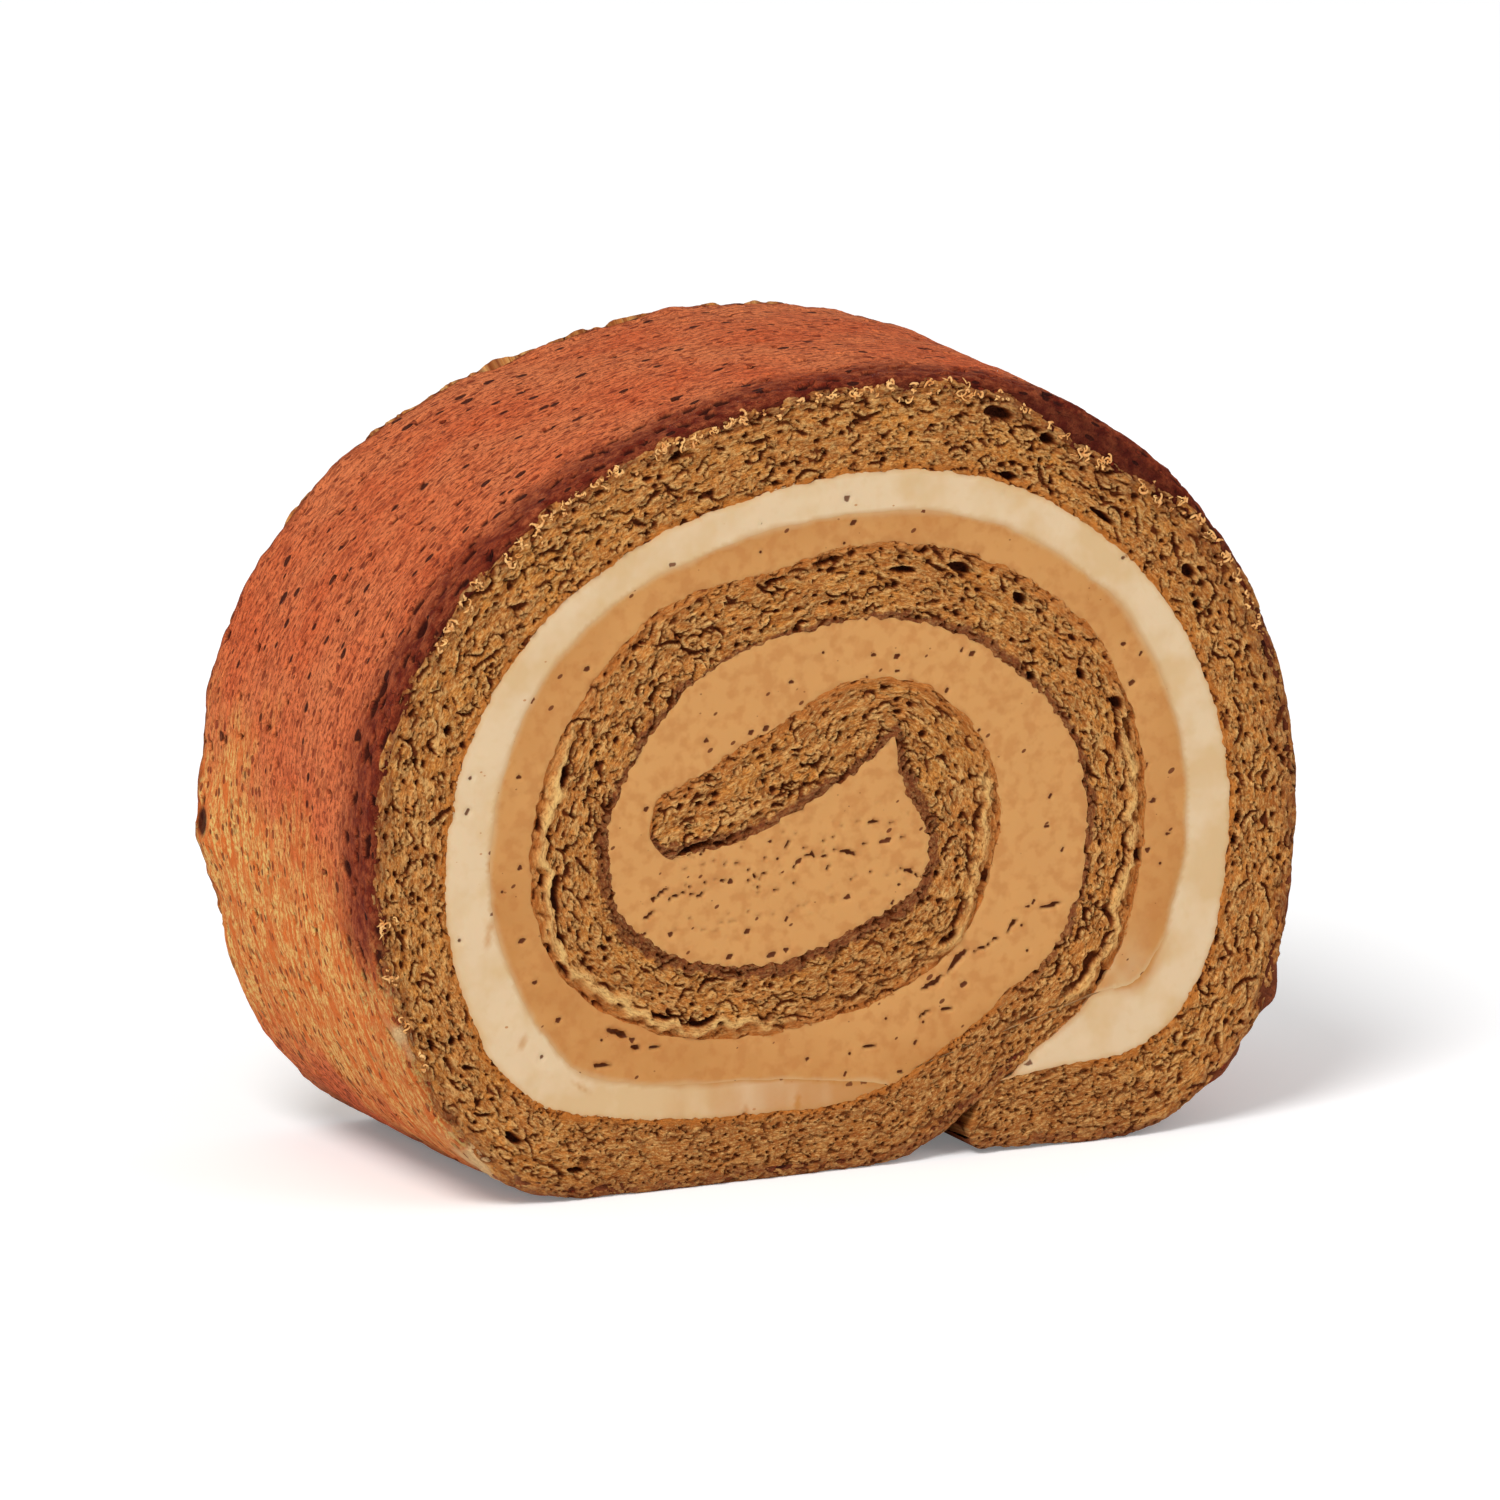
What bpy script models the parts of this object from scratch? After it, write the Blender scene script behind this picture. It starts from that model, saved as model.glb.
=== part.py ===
"""A thick slice of swiss roll cake, lying as cut with its roll axis level.

One sheet of sponge is rolled up about two and a half turns. White cream lines the
outer turn only, and coffee cream fills the rest of the roll and its core. All three
show at both cut faces and run straight through the slice.

The cut faces lie across Y. +X is to the right and +Z is up when the slice is seen
from -Y. The origin is under the middle of the slice, on the level that it rests on.
"""

import math

import bpy
from mathutils import Vector

MM = 0.001

# Driving dimensions. The outlines are drawn in millimetres, and each object's scale
# turns them into metres.
SLICE_THICKNESS = 36    # between the two cut faces
LAYER_GAP = 0.3         # left between touching layers
STEPS_PER_STATION = 4        # outline points between two stations of the sheet
ROUND_END_STEPS = 6          # sides of the half circle at each end of the sheet

# The sheet as it is rolled: from its outer end at the seam, along the base to the
# right, up and round counter-clockwise, and in to the tip at the core. Each station
# gives the middle of the sponge (x, z), the sponge's thickness there and the
# thickness of white cream spread on its inner side, all in millimetres.
SHEET_STATIONS = [
    # outer end, under the seam
    (14.3, 2.0, 3.2, 0.0),
    (16.6, 2.7, 5.6, 0.0),
    (20.5, 3.4, 7.1, 1.3),
    (25.5, 3.6, 7.8, 4.2),
    (30.5, 4.5, 7.8, 4.9),
    # right side
    (35.2, 7.6, 7.6, 4.6),
    (38.8, 12.6, 7.6, 4.6),
    (40.6, 18.0, 7.6, 4.4),
    (41.6, 25.0, 7.6, 3.8),
    (41.5, 34.0, 7.6, 3.6),
    (39.1, 43.6, 7.8, 3.4),
    # over the top
    (34.2, 52.6, 7.7, 3.4),
    (27.6, 59.0, 7.8, 3.6),
    (19.0, 64.2, 8.1, 3.7),
    (8.5, 66.8, 8.0, 3.7),
    (-2.0, 66.8, 7.8, 3.8),
    (-11.5, 65.1, 7.9, 3.7),
    (-21.0, 61.9, 8.0, 3.6),
    (-29.5, 56.8, 8.2, 3.7),
    # left side
    (-36.0, 50.0, 8.4, 3.7),
    (-40.0, 42.0, 8.3, 3.8),
    (-41.5, 33.5, 8.0, 3.7),
    (-41.2, 25.0, 7.6, 3.9),
    (-39.2, 17.2, 7.4, 4.4),
    (-35.3, 9.8, 7.6, 4.6),
    # along the base, where the white cream thins out
    (-29.0, 4.8, 8.0, 3.6),
    (-20.0, 3.3, 7.2, 2.8),
    (-9.0, 2.9, 6.4, 2.7),
    (0.5, 3.0, 6.5, 1.6),
    (6.0, 3.9, 7.3, 0.0),
    # second turn: up over the outer end and round
    (11.0, 6.6, 6.8, 0.0),
    (17.3, 11.1, 6.4, 0.0),
    (22.6, 15.3, 6.2, 0.0),
    (25.9, 21.3, 5.8, 0.0),
    (27.0, 29.5, 5.9, 0.0),
    (25.8, 37.2, 6.4, 0.0),
    (21.4, 44.2, 7.2, 0.0),
    (13.5, 50.0, 7.3, 0.0),
    (3.5, 52.7, 6.8, 0.0),
    (-6.5, 51.3, 6.4, 0.0),
    (-15.5, 48.6, 7.6, 0.0),
    (-22.3, 41.6, 7.9, 0.0),
    (-25.8, 34.0, 7.7, 0.0),
    (-25.4, 26.0, 7.9, 0.0),
    (-21.3, 20.2, 7.6, 0.0),
    (-14.0, 16.7, 6.9, 0.0),
    # last half turn, folded over to the tip
    (-5.0, 16.4, 6.5, 0.0),
    (3.5, 18.5, 7.4, 0.0),
    (9.9, 22.4, 6.8, 0.0),
    (12.2, 28.5, 6.8, 0.0),
    (11.1, 34.6, 7.6, 0.0),
    (7.4, 39.4, 7.0, 0.0),
    (2.0, 40.3, 7.4, 0.0),
    (-4.0, 37.4, 7.8, 0.0),
    (-10.0, 34.5, 7.8, 0.0),
    (-15.3, 32.7, 6.2, 0.0),
]

# Where the creams start and stop, counted in stations along the sheet
WHITE_START = 1
WHITE_END = 29
COFFEE_START_ON_WHITE = 3.5    # tail of the coffee cream, on the white cream
COFFEE_START_ON_SPONGE = 32.25   # the same tail, on the outside of the second turn


def spline_value(before, start, end, after, t):
    """Catmull-Rom value a fraction t of the way from start to end."""
    straight = 2 * start + (end - before) * t
    bend = (2 * before - 5 * start + 4 * end - after) * t ** 2
    twist = (3 * start - before - 3 * end + after) * t ** 3
    return (straight + bend + twist) / 2


def smooth_stations():
    """The sheet's stations, with smooth steps filled in between them."""
    rows = SHEET_STATIONS
    first = [2 * a - b for a, b in zip(rows[0], rows[1])]
    last = [2 * a - b for a, b in zip(rows[-1], rows[-2])]
    padded = [first, *rows, last]
    smooth = []
    for index in range(len(rows) - 1):
        for step in range(STEPS_PER_STATION):
            t = step / STEPS_PER_STATION
            columns = zip(*padded[index:index + 4])
            smooth.append([spline_value(*column, t) for column in columns])
    smooth.append(rows[-1])
    return smooth


class RolledSheet:
    """Middle line, direction and layer thicknesses along the rolled sponge sheet."""

    def __init__(self):
        rows = smooth_stations()
        self.middle = [Vector((row[0], row[1])) for row in rows]
        self.half_sponge = [row[2] / 2 for row in rows]
        self.white = [max(row[3], 0) for row in rows]
        self.last = len(rows) - 1
        self.inward = [self.inward_at(step) for step in range(len(rows))]

    def inward_at(self, step):
        """Unit direction from the sheet towards the inside of its turn."""
        ahead = self.middle[min(step + 1, self.last)]
        behind = self.middle[max(step - 1, 0)]
        along = (ahead - behind).normalized()
        return Vector((-along.y, along.x))

    def inside(self, step, clearance=0):
        """Point on the sponge's inner side, moved inwards by the clearance."""
        return self.middle[step] + self.inward[step] * (self.half_sponge[step] + clearance)

    def outside(self, step, clearance=0):
        """Point on the sponge's outer side. The roll has settled flat on its base."""
        point = self.middle[step] - self.inward[step] * (self.half_sponge[step] + clearance)
        return Vector((point.x, max(point.y, 0)))

    def round_end(self, step, from_direction, clearance=0):
        """Points of the half circle round an end of the sheet, counter-clockwise."""
        radius = self.half_sponge[step] + clearance
        start = math.atan2(from_direction.y, from_direction.x)
        points = []
        for side in range(1, ROUND_END_STEPS):
            angle = start + math.pi * side / ROUND_END_STEPS
            points.append(self.middle[step] + radius * Vector((math.cos(angle), math.sin(angle))))
        return points


def step_of(station):
    """Number of the smooth step at a station, which may be a fraction."""
    return round(station * STEPS_PER_STATION)


def sponge_outline(sheet):
    """Outer side to the tip, round it, back along the inner side to the outer end."""
    steps = range(sheet.last + 1)
    outer_side = [sheet.outside(step) for step in steps]
    tip = sheet.round_end(sheet.last, -sheet.inward[-1])
    inner_side = [sheet.inside(step) for step in reversed(steps)]
    outer_end = sheet.round_end(0, sheet.inward[0])
    return outer_side + tip + inner_side + outer_end


def white_cream_outline(sheet):
    """The white cream: it lies on the inner side of the outer turn, thin at both ends."""
    start = step_of(WHITE_START)
    end = step_of(WHITE_END)
    on_sponge = [sheet.inside(step, LAYER_GAP) for step in range(start, end + 1)]
    on_coffee = [sheet.inside(step, LAYER_GAP + sheet.white[step]) for step in range(end - 1, start, -1)]
    return on_sponge + on_coffee


def coffee_clearance(sheet, step):
    """Distance from the sponge's inner side to the coffee cream, over any white cream."""
    if step > step_of(WHITE_END):
        return LAYER_GAP
    return LAYER_GAP + sheet.white[step] + LAYER_GAP


def coffee_cream_outline(sheet):
    """The coffee cream: in along the sponge's inner side to the core, round the tip of
    the sheet, and back out along the outer side of the inner turns."""
    start = step_of(COFFEE_START_ON_WHITE)
    end = step_of(COFFEE_START_ON_SPONGE)
    inwards = [
        sheet.inside(step, coffee_clearance(sheet, step))
        for step in range(start, sheet.last + 1)
    ]
    round_tip = reversed(sheet.round_end(sheet.last, -sheet.inward[-1], LAYER_GAP))
    outwards = [sheet.outside(step, LAYER_GAP) for step in range(sheet.last, end - 1, -1)]
    return inwards + list(round_tip) + outwards


def food_material(name, color, roughness):
    """Principled material with a plain colour, as red, green and blue."""
    material = bpy.data.materials.new(name)
    material.use_nodes = True
    shader = material.node_tree.nodes["Principled BSDF"]
    shader.inputs["Base Color"].default_value = (*color, 1)
    shader.inputs["Roughness"].default_value = roughness
    shader.inputs["Metallic"].default_value = 0
    material.diffuse_color = (*color, 1)
    return material


def add_layer(name, outline, material, collection):
    """A flat outline in X and Z, carried through the slice from cut face to cut face."""
    curve = bpy.data.curves.new(name, "CURVE")
    curve.dimensions = "2D"
    curve.fill_mode = "BOTH"
    curve.extrude = SLICE_THICKNESS / 2
    spline = curve.splines.new("POLY")
    spline.points.add(len(outline) - 1)
    for point, place in zip(spline.points, outline):
        point.co = (place.x, place.y, 0, 1)
    spline.use_cyclic_u = True
    curve.materials.append(material)
    layer = bpy.data.objects.new(name, curve)
    layer.rotation_euler.x = math.radians(90)
    layer.scale = (MM, MM, MM)
    collection.objects.link(layer)


def build():
    for old in list(bpy.data.objects):
        bpy.data.objects.remove(old)
    collection = bpy.data.collections.new("swiss_roll_cake")
    bpy.context.scene.collection.children.link(collection)
    sheet = RolledSheet()
    sponge = food_material("sponge", (0.47, 0.26, 0.11), 0.85)
    white_cream = food_material("white_cream", (0.80, 0.64, 0.43), 0.5)
    coffee_cream = food_material("coffee_cream", (0.60, 0.32, 0.13), 0.5)
    add_layer("sponge", sponge_outline(sheet), sponge, collection)
    add_layer("white_cream", white_cream_outline(sheet), white_cream, collection)
    add_layer("coffee_cream", coffee_cream_outline(sheet), coffee_cream, collection)


build()
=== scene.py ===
"""Looks of the swiss roll cake slice: open crumb, baked cocoa skin and two creams.

The shapes are worked out in millimetres, in the frame's own axes: the cut faces lie
across Y, X runs to the right along them and Z is up. Each piece turns them into metres
as its mesh is made.
"""

import math

import bpy
import numpy as np
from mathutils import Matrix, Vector
from mathutils.geometry import delaunay_2d_cdt


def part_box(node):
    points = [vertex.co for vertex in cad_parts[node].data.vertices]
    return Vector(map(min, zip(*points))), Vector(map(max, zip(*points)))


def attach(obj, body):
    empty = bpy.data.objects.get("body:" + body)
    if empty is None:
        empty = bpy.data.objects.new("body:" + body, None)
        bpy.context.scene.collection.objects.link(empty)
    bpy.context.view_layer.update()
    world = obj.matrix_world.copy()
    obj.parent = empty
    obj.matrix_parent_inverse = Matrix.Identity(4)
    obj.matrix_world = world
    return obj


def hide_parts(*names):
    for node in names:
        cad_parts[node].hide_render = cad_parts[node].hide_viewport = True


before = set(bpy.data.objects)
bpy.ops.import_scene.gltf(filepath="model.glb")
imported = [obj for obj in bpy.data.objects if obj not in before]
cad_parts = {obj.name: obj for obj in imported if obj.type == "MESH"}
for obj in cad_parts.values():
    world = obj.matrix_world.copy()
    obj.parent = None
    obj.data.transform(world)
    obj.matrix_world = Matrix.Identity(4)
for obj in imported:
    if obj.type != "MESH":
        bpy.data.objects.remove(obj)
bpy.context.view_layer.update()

MM = 0.001
LOW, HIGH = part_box("sponge")
HALF_SLICE = (HIGH[1] - LOW[1]) / 2 / MM     # from the middle to each cut face
CAKE_WIDTH = (HIGH[0] - LOW[0]) / MM
CAKE_HEIGHT = (HIGH[2] - LOW[2]) / MM

# ---------------------------------------------------------------- the rolled sheet

# The sheet's stations, as in the CAD model: middle of the sponge (x, z), thickness of
# the sponge and thickness of the white cream on its inner side.
STATIONS = np.array([
    # outer end, under the seam
    (14.3, 2.0, 3.2, 0.0),
    (16.6, 2.7, 5.6, 0.0),
    (20.5, 3.4, 7.1, 1.3),
    (25.5, 3.6, 7.8, 4.2),
    (30.5, 4.5, 7.8, 4.9),
    # right side
    (35.2, 7.6, 7.6, 4.6),
    (38.8, 12.6, 7.6, 4.6),
    (40.6, 18.0, 7.6, 4.4),
    (41.6, 25.0, 7.6, 3.8),
    (41.5, 34.0, 7.6, 3.6),
    (39.1, 43.6, 7.8, 3.4),
    # over the top
    (34.2, 52.6, 7.7, 3.4),
    (27.6, 59.0, 7.8, 3.6),
    (19.0, 64.2, 8.1, 3.7),
    (8.5, 66.8, 8.0, 3.7),
    (-2.0, 66.8, 7.8, 3.8),
    (-11.5, 65.1, 7.9, 3.7),
    (-21.0, 61.9, 8.0, 3.6),
    (-29.5, 56.8, 8.2, 3.7),
    # left side
    (-36.0, 50.0, 8.4, 3.7),
    (-40.0, 42.0, 8.3, 3.8),
    (-41.5, 33.5, 8.0, 3.7),
    (-41.2, 25.0, 7.6, 3.9),
    (-39.2, 17.2, 7.4, 4.4),
    (-35.3, 9.8, 7.6, 4.6),
    # along the base, where the white cream thins out
    (-29.0, 4.8, 8.0, 3.6),
    (-20.0, 3.3, 7.2, 2.8),
    (-9.0, 2.9, 6.4, 2.7),
    (0.5, 3.0, 6.5, 1.6),
    (6.0, 3.9, 7.3, 0.0),
    # second turn: up over the outer end and round
    (11.0, 6.6, 6.8, 0.0),
    (17.3, 11.1, 6.4, 0.0),
    (22.6, 15.3, 6.2, 0.0),
    (25.9, 21.3, 5.8, 0.0),
    (27.0, 29.5, 5.9, 0.0),
    (25.8, 37.2, 6.4, 0.0),
    (21.4, 44.2, 7.2, 0.0),
    (13.5, 50.0, 7.3, 0.0),
    (3.5, 52.7, 6.8, 0.0),
    (-6.5, 51.3, 6.4, 0.0),
    (-15.5, 48.6, 7.6, 0.0),
    (-22.3, 41.6, 7.9, 0.0),
    (-25.8, 34.0, 7.7, 0.0),
    (-25.4, 26.0, 7.9, 0.0),
    (-21.3, 20.2, 7.6, 0.0),
    (-14.0, 16.7, 6.9, 0.0),
    # last half turn, folded over to the tip
    (-5.0, 16.4, 6.5, 0.0),
    (3.5, 18.5, 7.4, 0.0),
    (9.9, 22.4, 6.8, 0.0),
    (12.2, 28.5, 6.8, 0.0),
    (11.1, 34.6, 7.6, 0.0),
    (7.4, 39.4, 7.0, 0.0),
    (2.0, 40.3, 7.4, 0.0),
    (-4.0, 37.4, 7.8, 0.0),
    (-10.0, 34.5, 7.8, 0.0),
    (-15.3, 32.7, 6.2, 0.0),
])
LAST_STATION = len(STATIONS) - 1
STEPS_PER_STATION = 60

# Places along the sheet, counted in stations
WHITE_START, WHITE_END = 1.0, 29.0
COFFEE_START, COFFEE_START_ON_SPONGE = 3.3, 32.0
SKIN_END = 30.9              # where the outer turn's skin runs into the seam
INNER_TURNS = 30.5           # from here on the sheet has cream on both sides

# Where the cut edges wander from the even sheet: station, and mm towards the inside
INNER_EDGE_MOVES = [
    # the outer end swells up into the seam
    (0.0, 1.3), (0.8, 1.2), (1.4, 0.8), (2.2, 0.2), (3.0, 0.0),
    # right side and top
    (9.0, 0.0), (10.0, 0.4), (11.0, 0.9), (12.5, 1.0), (14.0, 0.8), (15.5, 0.75),
    (17.0, 0.45), (19.0, 0.3), (20.5, 0.0), (21.5, -0.2), (23.0, 0.0),
    # the core's pointed top
    (48.8, 0.0), (49.5, 0.6), (50.2, 0.9), (50.7, 0.5), (51.05, -0.5), (51.3, -1.9),
    (51.55, -0.7), (51.8, 0.2), (52.3, 0.5), (53.0, 0.3), (54.0, 0.0),
]
OUTER_EDGE_MOVES = [
    (6.0, 0.0), (7.0, 0.25), (8.5, 0.35), (10.0, 0.5), (10.7, 0.4), (11.4, 0.1), (12.2, 0.0),
]
WHITE_EDGE_MOVES = [
    (1.2, 0.2), (1.8, 0.9), (3.0, 1.2), (3.8, 0.9), (4.6, 0.5), (6.0, 0.0), (8.0, 0.0),
    (9.5, 0.2), (10.5, 0.5), (12.0, 0.6), (13.5, 0.4), (15.0, 0.05),
    (17.0, -0.25), (18.5, -0.4), (20.0, -0.05), (22.0, 0.0),
]


# ---------------------------------------------------------------- repeatable noise


def hashed(ix, iy, seed):
    """Repeatable random numbers from 0 to 1 at whole-number places."""
    mixed = ix.astype(np.int64) * 374761393 + iy.astype(np.int64) * 668265263 + seed * 974711
    mixed = mixed & 0xFFFFFFFF
    mixed = ((mixed ^ (mixed >> 13)) * 1274126177) & 0xFFFFFFFF
    mixed = ((mixed ^ (mixed >> 15)) * 739982445) & 0xFFFFFFFF
    return (mixed ^ (mixed >> 16)) / 0xFFFFFFFF


def noise(x, y, seed):
    """Smooth noise from -1 to 1, with features about one unit across."""
    ix, iy = np.floor(x), np.floor(y)
    fx, fy = x - ix, y - iy
    fx = fx ** 3 * (fx * (fx * 6 - 15) + 10)
    fy = fy ** 3 * (fy * (fy * 6 - 15) + 10)
    low = hashed(ix, iy, seed) * (1 - fx) + hashed(ix + 1, iy, seed) * fx
    high = hashed(ix, iy + 1, seed) * (1 - fx) + hashed(ix + 1, iy + 1, seed) * fx
    return 2 * (low * (1 - fy) + high * fy) - 1


def fractal(x, y, seed, octaves=3):
    """Noise with finer and weaker layers added, from about -1 to 1."""
    total = 0
    for octave in range(octaves):
        total = total + noise(x * 2 ** octave, y * 2 ** octave, seed + octave) / 2 ** octave
    return total / 1.5


def cells(x, y, seed):
    """Nearest of the points scattered one to a unit square: distance to it, how much
    further the next one is, its random number, and the offset (dx, dy) from it."""
    ix, iy = np.floor(x), np.floor(y)
    nearest = np.full(x.shape, 9.0)
    second = np.full(x.shape, 9.0)
    number, dx, dy = (np.zeros(x.shape) for _ in range(3))
    for step_x in (-1, 0, 1):
        for step_y in (-1, 0, 1):
            column, row = ix + step_x, iy + step_y
            to_x = x - column - hashed(column, row, seed)
            to_y = y - row - hashed(column, row, seed + 71)
            distance = np.hypot(to_x, to_y)
            closer = distance < nearest
            second = np.where(closer, nearest, np.minimum(second, distance))
            number = np.where(closer, hashed(column, row, seed + 137), number)
            dx, dy = np.where(closer, to_x, dx), np.where(closer, to_y, dy)
            nearest = np.where(closer, distance, nearest)
    return nearest, second - nearest, number, dx, dy


def smooth_step(low, high, value):
    """0 below low, 1 above high and a smooth rise between them."""
    t = np.clip((value - low) / (high - low), 0, 1)
    return t * t * (3 - 2 * t)


def bump_at(value, centre, width):
    """A soft bump of height 1 at the centre."""
    return np.exp(-((value - centre) / width) ** 2)


# ---------------------------------------------------------------- shape of the roll


def station_values(u):
    """The stations' columns at places u, from a Catmull-Rom curve through them."""
    padded = np.vstack([2 * STATIONS[0] - STATIONS[1], STATIONS, 2 * STATIONS[-1] - STATIONS[-2]])
    span = np.clip(np.floor(u).astype(int), 0, LAST_STATION - 1)
    t = (u - span)[..., None]
    before, start, end, after = (padded[span + k] for k in range(4))
    straight = 2 * start + (end - before) * t
    bend = (2 * before - 5 * start + 4 * end - after) * t ** 2
    twist = (3 * start - before - 3 * end + after) * t ** 3
    return (straight + bend + twist) / 2


class Sheet:
    """The rolled sheet sampled finely: places are given by distance along it, in mm."""

    def __init__(self):
        self.u = np.linspace(0, LAST_STATION, LAST_STATION * STEPS_PER_STATION + 1)
        self.values = station_values(self.u)
        steps = np.hypot(*np.diff(self.values[:, :2], axis=0).T)
        self.length_to = np.concatenate([[0], np.cumsum(steps)])
        self.length = self.length_to[-1]
        along = np.gradient(self.values[:, :2], axis=0)
        along /= np.hypot(*along.T)[:, None]
        self.along = along

    def station_at(self, s):
        """Station at distance s along the sheet."""
        return np.interp(s, self.length_to, self.u)

    def distance_at(self, station):
        """Distance along the sheet of a station."""
        return float(np.interp(station, self.u, self.length_to))

    def column(self, table, s):
        """A table with one value for each fine step, read at distances s."""
        return np.interp(s, self.length_to, table)

    def half_sponge(self, s):
        """Half the sponge's thickness, rounded off beyond both ends of the sheet."""
        half = self.column(self.values[:, 2], s) / 2
        beyond = np.maximum(-s, 0) + np.maximum(s - self.length, 0)
        return np.sqrt(np.maximum(half ** 2 - beyond ** 2, 0))

    def white(self, s):
        """Thickness of the white cream."""
        return np.maximum(self.column(self.values[:, 3], s), 0)

    def directions(self, s):
        """Unit vectors along the sheet and inwards, at distances s."""
        along = np.stack([self.column(self.along[:, k], s) for k in (0, 1)], -1)
        along /= np.linalg.norm(along, axis=-1, keepdims=True)
        inward = np.stack([-along[..., 1], along[..., 0]], -1)
        return along, inward

    def place(self, s, offset):
        """Point (x, z) at distance s, moved inwards by the offset from the middle."""
        along, inward = self.directions(s)
        middle = np.stack([self.column(self.values[:, k], s) for k in (0, 1)], -1)
        beyond = np.minimum(s, 0) + np.maximum(s - self.length, 0)
        point = middle + along * beyond[..., None] + inward * offset[..., None]
        point[..., 1] = np.maximum(point[..., 1], 0)
        return point

    def inner_edge(self, s):
        """Offset of the sponge's inner side, slightly ragged where cream meets it."""
        station = self.station_at(s)
        moved = np.interp(station, *zip(*INNER_EDGE_MOVES))
        ragged = 0.14 * fractal(s / 2.2, s * 0, 11) + 0.10 * noise(s / 0.5, s * 0, 14)
        rougher = smooth_step(INNER_TURNS, INNER_TURNS + 1, station)
        ragged = ragged * (1 + 0.8 * rougher)
        past_round_end = smooth_step(-1.2, 0.8, s)
        return self.half_sponge(s) + (moved + ragged) * past_round_end

    def outer_edge(self, s):
        """Offset of the sponge's outer side, ragged on the inner turns only."""
        station = self.station_at(s)
        moved = np.interp(station, *zip(*OUTER_EDGE_MOVES))
        ragged = 0.22 * fractal(s / 1.9, s * 0, 21) + 0.12 * noise(s / 0.5, s * 0, 24)
        inside = smooth_step(INNER_TURNS + 1, INNER_TURNS + 2, station)
        return -self.half_sponge(s) + moved - ragged * inside


sheet = Sheet()
NOSE = sheet.values[0, 2] / 2      # how far the round outer end reaches past station 0
TIP = sheet.values[-1, 2] / 2      # and the round tip past the last station


# ---------------------------------------------------------------- meshes


def make_piece(name, points, faces, material, node, attributes, uv):
    """A smooth-shaded piece from points in mm. uv holds one place per face corner."""
    mesh = bpy.data.meshes.new(name)
    mesh.from_pydata((points * MM).tolist(), [], faces)
    for title, values in attributes.items():
        kind = "FLOAT_VECTOR" if values.ndim == 2 else "FLOAT"
        field = "vector" if values.ndim == 2 else "value"
        layer = mesh.attributes.new(title, kind, "POINT")
        layer.data.foreach_set(field, values.astype(np.float32).ravel())
    bake_map = mesh.uv_layers.new(name="OFBake")
    bake_map.data.foreach_set("uv", uv.astype(np.float32).ravel())
    mesh.shade_smooth()
    mesh.materials.append(material)
    piece = bpy.data.objects.new(name, mesh)
    bpy.context.scene.collection.objects.link(piece)
    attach(piece, "root")
    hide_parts(node)
    return piece


def grid_faces(rows, columns, flip=False):
    """Quads of a grid whose points are numbered row by row."""
    row, column = np.meshgrid(np.arange(rows - 1), np.arange(columns - 1), indexing="ij")
    first = row * columns + column
    quads = np.stack([first, first + 1, first + columns + 1, first + columns], -1).reshape(-1, 4)
    return quads[:, ::-1] if flip else quads


CRUMB_SINK = 0.2       # how far the crumb's even level lies behind the cut, in mm
CREAM_SINK = 0.15      # and the creams' level
FACE_SHARE = 0.86      # part of the bake map's height that the cut face takes
WALL_SHARE = 0.06      # height of each band below it for the walls


def face_uv(points):
    """Flat map of a cut face, in the upper part of the bake map."""
    u = (points[..., 0] / CAKE_WIDTH + 0.5) * 0.98 + 0.01
    v = 1 - FACE_SHARE + points[..., 2] / CAKE_HEIGHT * (FACE_SHARE - 0.02) + 0.01
    return np.stack([u, v], -1)


# ---------------------------------------------------------------- crumb

# Holes larger than the crumb's own pores on the front cut face:
# x, z, length along the sheet and height across it
LARGE_HOLES = [
    (15.5, 66.4, 2.6, 1.2),
    (20.4, 63.6, 1.7, 1.0),
    (34.2, 50.3, 1.6, 1.1),
    (25.8, 56.2, 2.8, 0.5),
    (16.5, 60.7, 1.6, 0.7),
    (35.0, 47.4, 1.0, 0.7),
    (11.8, 53.0, 2.6, 0.9),
    (8.1, 54.9, 1.4, 0.8),
    (6.0, 53.4, 3.2, 0.6),
    (17.6, 49.6, 1.4, 0.9),
    (-1.0, 54.9, 2.8, 0.7),
    (-6.2, 53.6, 2.6, 0.5),
    (18.7, 42.6, 0.9, 0.8),
    (23.6, 42.3, 1.2, 0.7),
    (27.2, 39.3, 1.6, 1.0),
    (28.2, 36.9, 2.4, 0.8),
    (29.4, 25.4, 1.5, 1.3),
    (25.8, 14.5, 1.8, 0.8),
    (14.3, 24.7, 2.4, 1.0),
    (11.0, 20.0, 1.8, 0.7),
    (-14.0, 30.5, 3.6, 0.7),
    (-17.7, 44.9, 1.8, 0.6),
    (-37.6, 43.3, 1.0, 0.9),
    (-15.6, 65.6, 2.0, 0.8),
    (-35.6, 55.0, 1.8, 0.8),
    (-31.4, 6.2, 1.8, 0.8),
    (-25.5, 2.8, 1.6, 0.5),
    (-39.2, 15.3, 1.4, 0.6),
    (-37.3, 15.6, 0.8, 0.7),
    (-26.5, 20.7, 2.0, 0.7),
    (38.8, 25.8, 1.0, 0.8),
    (39.0, 28.0, 1.2, 0.8),
    (37.0, 17.1, 1.0, 0.5),
]


def peel_amount(station):
    """Where the sheet's outer side has peeled into a pale ridge with gaps behind it:
    the left of the second turn, its right side above the seam, and the core's right."""
    left = smooth_step(40.9, 41.6, station) * (1 - smooth_step(45.4, 46.2, station))
    right = smooth_step(31.4, 32.2, station) * (1 - smooth_step(34.9, 35.5, station))
    core = smooth_step(47.3, 47.8, station) * (1 - smooth_step(49.6, 50.2, station))
    return left + 0.8 * right + 0.7 * core


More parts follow.
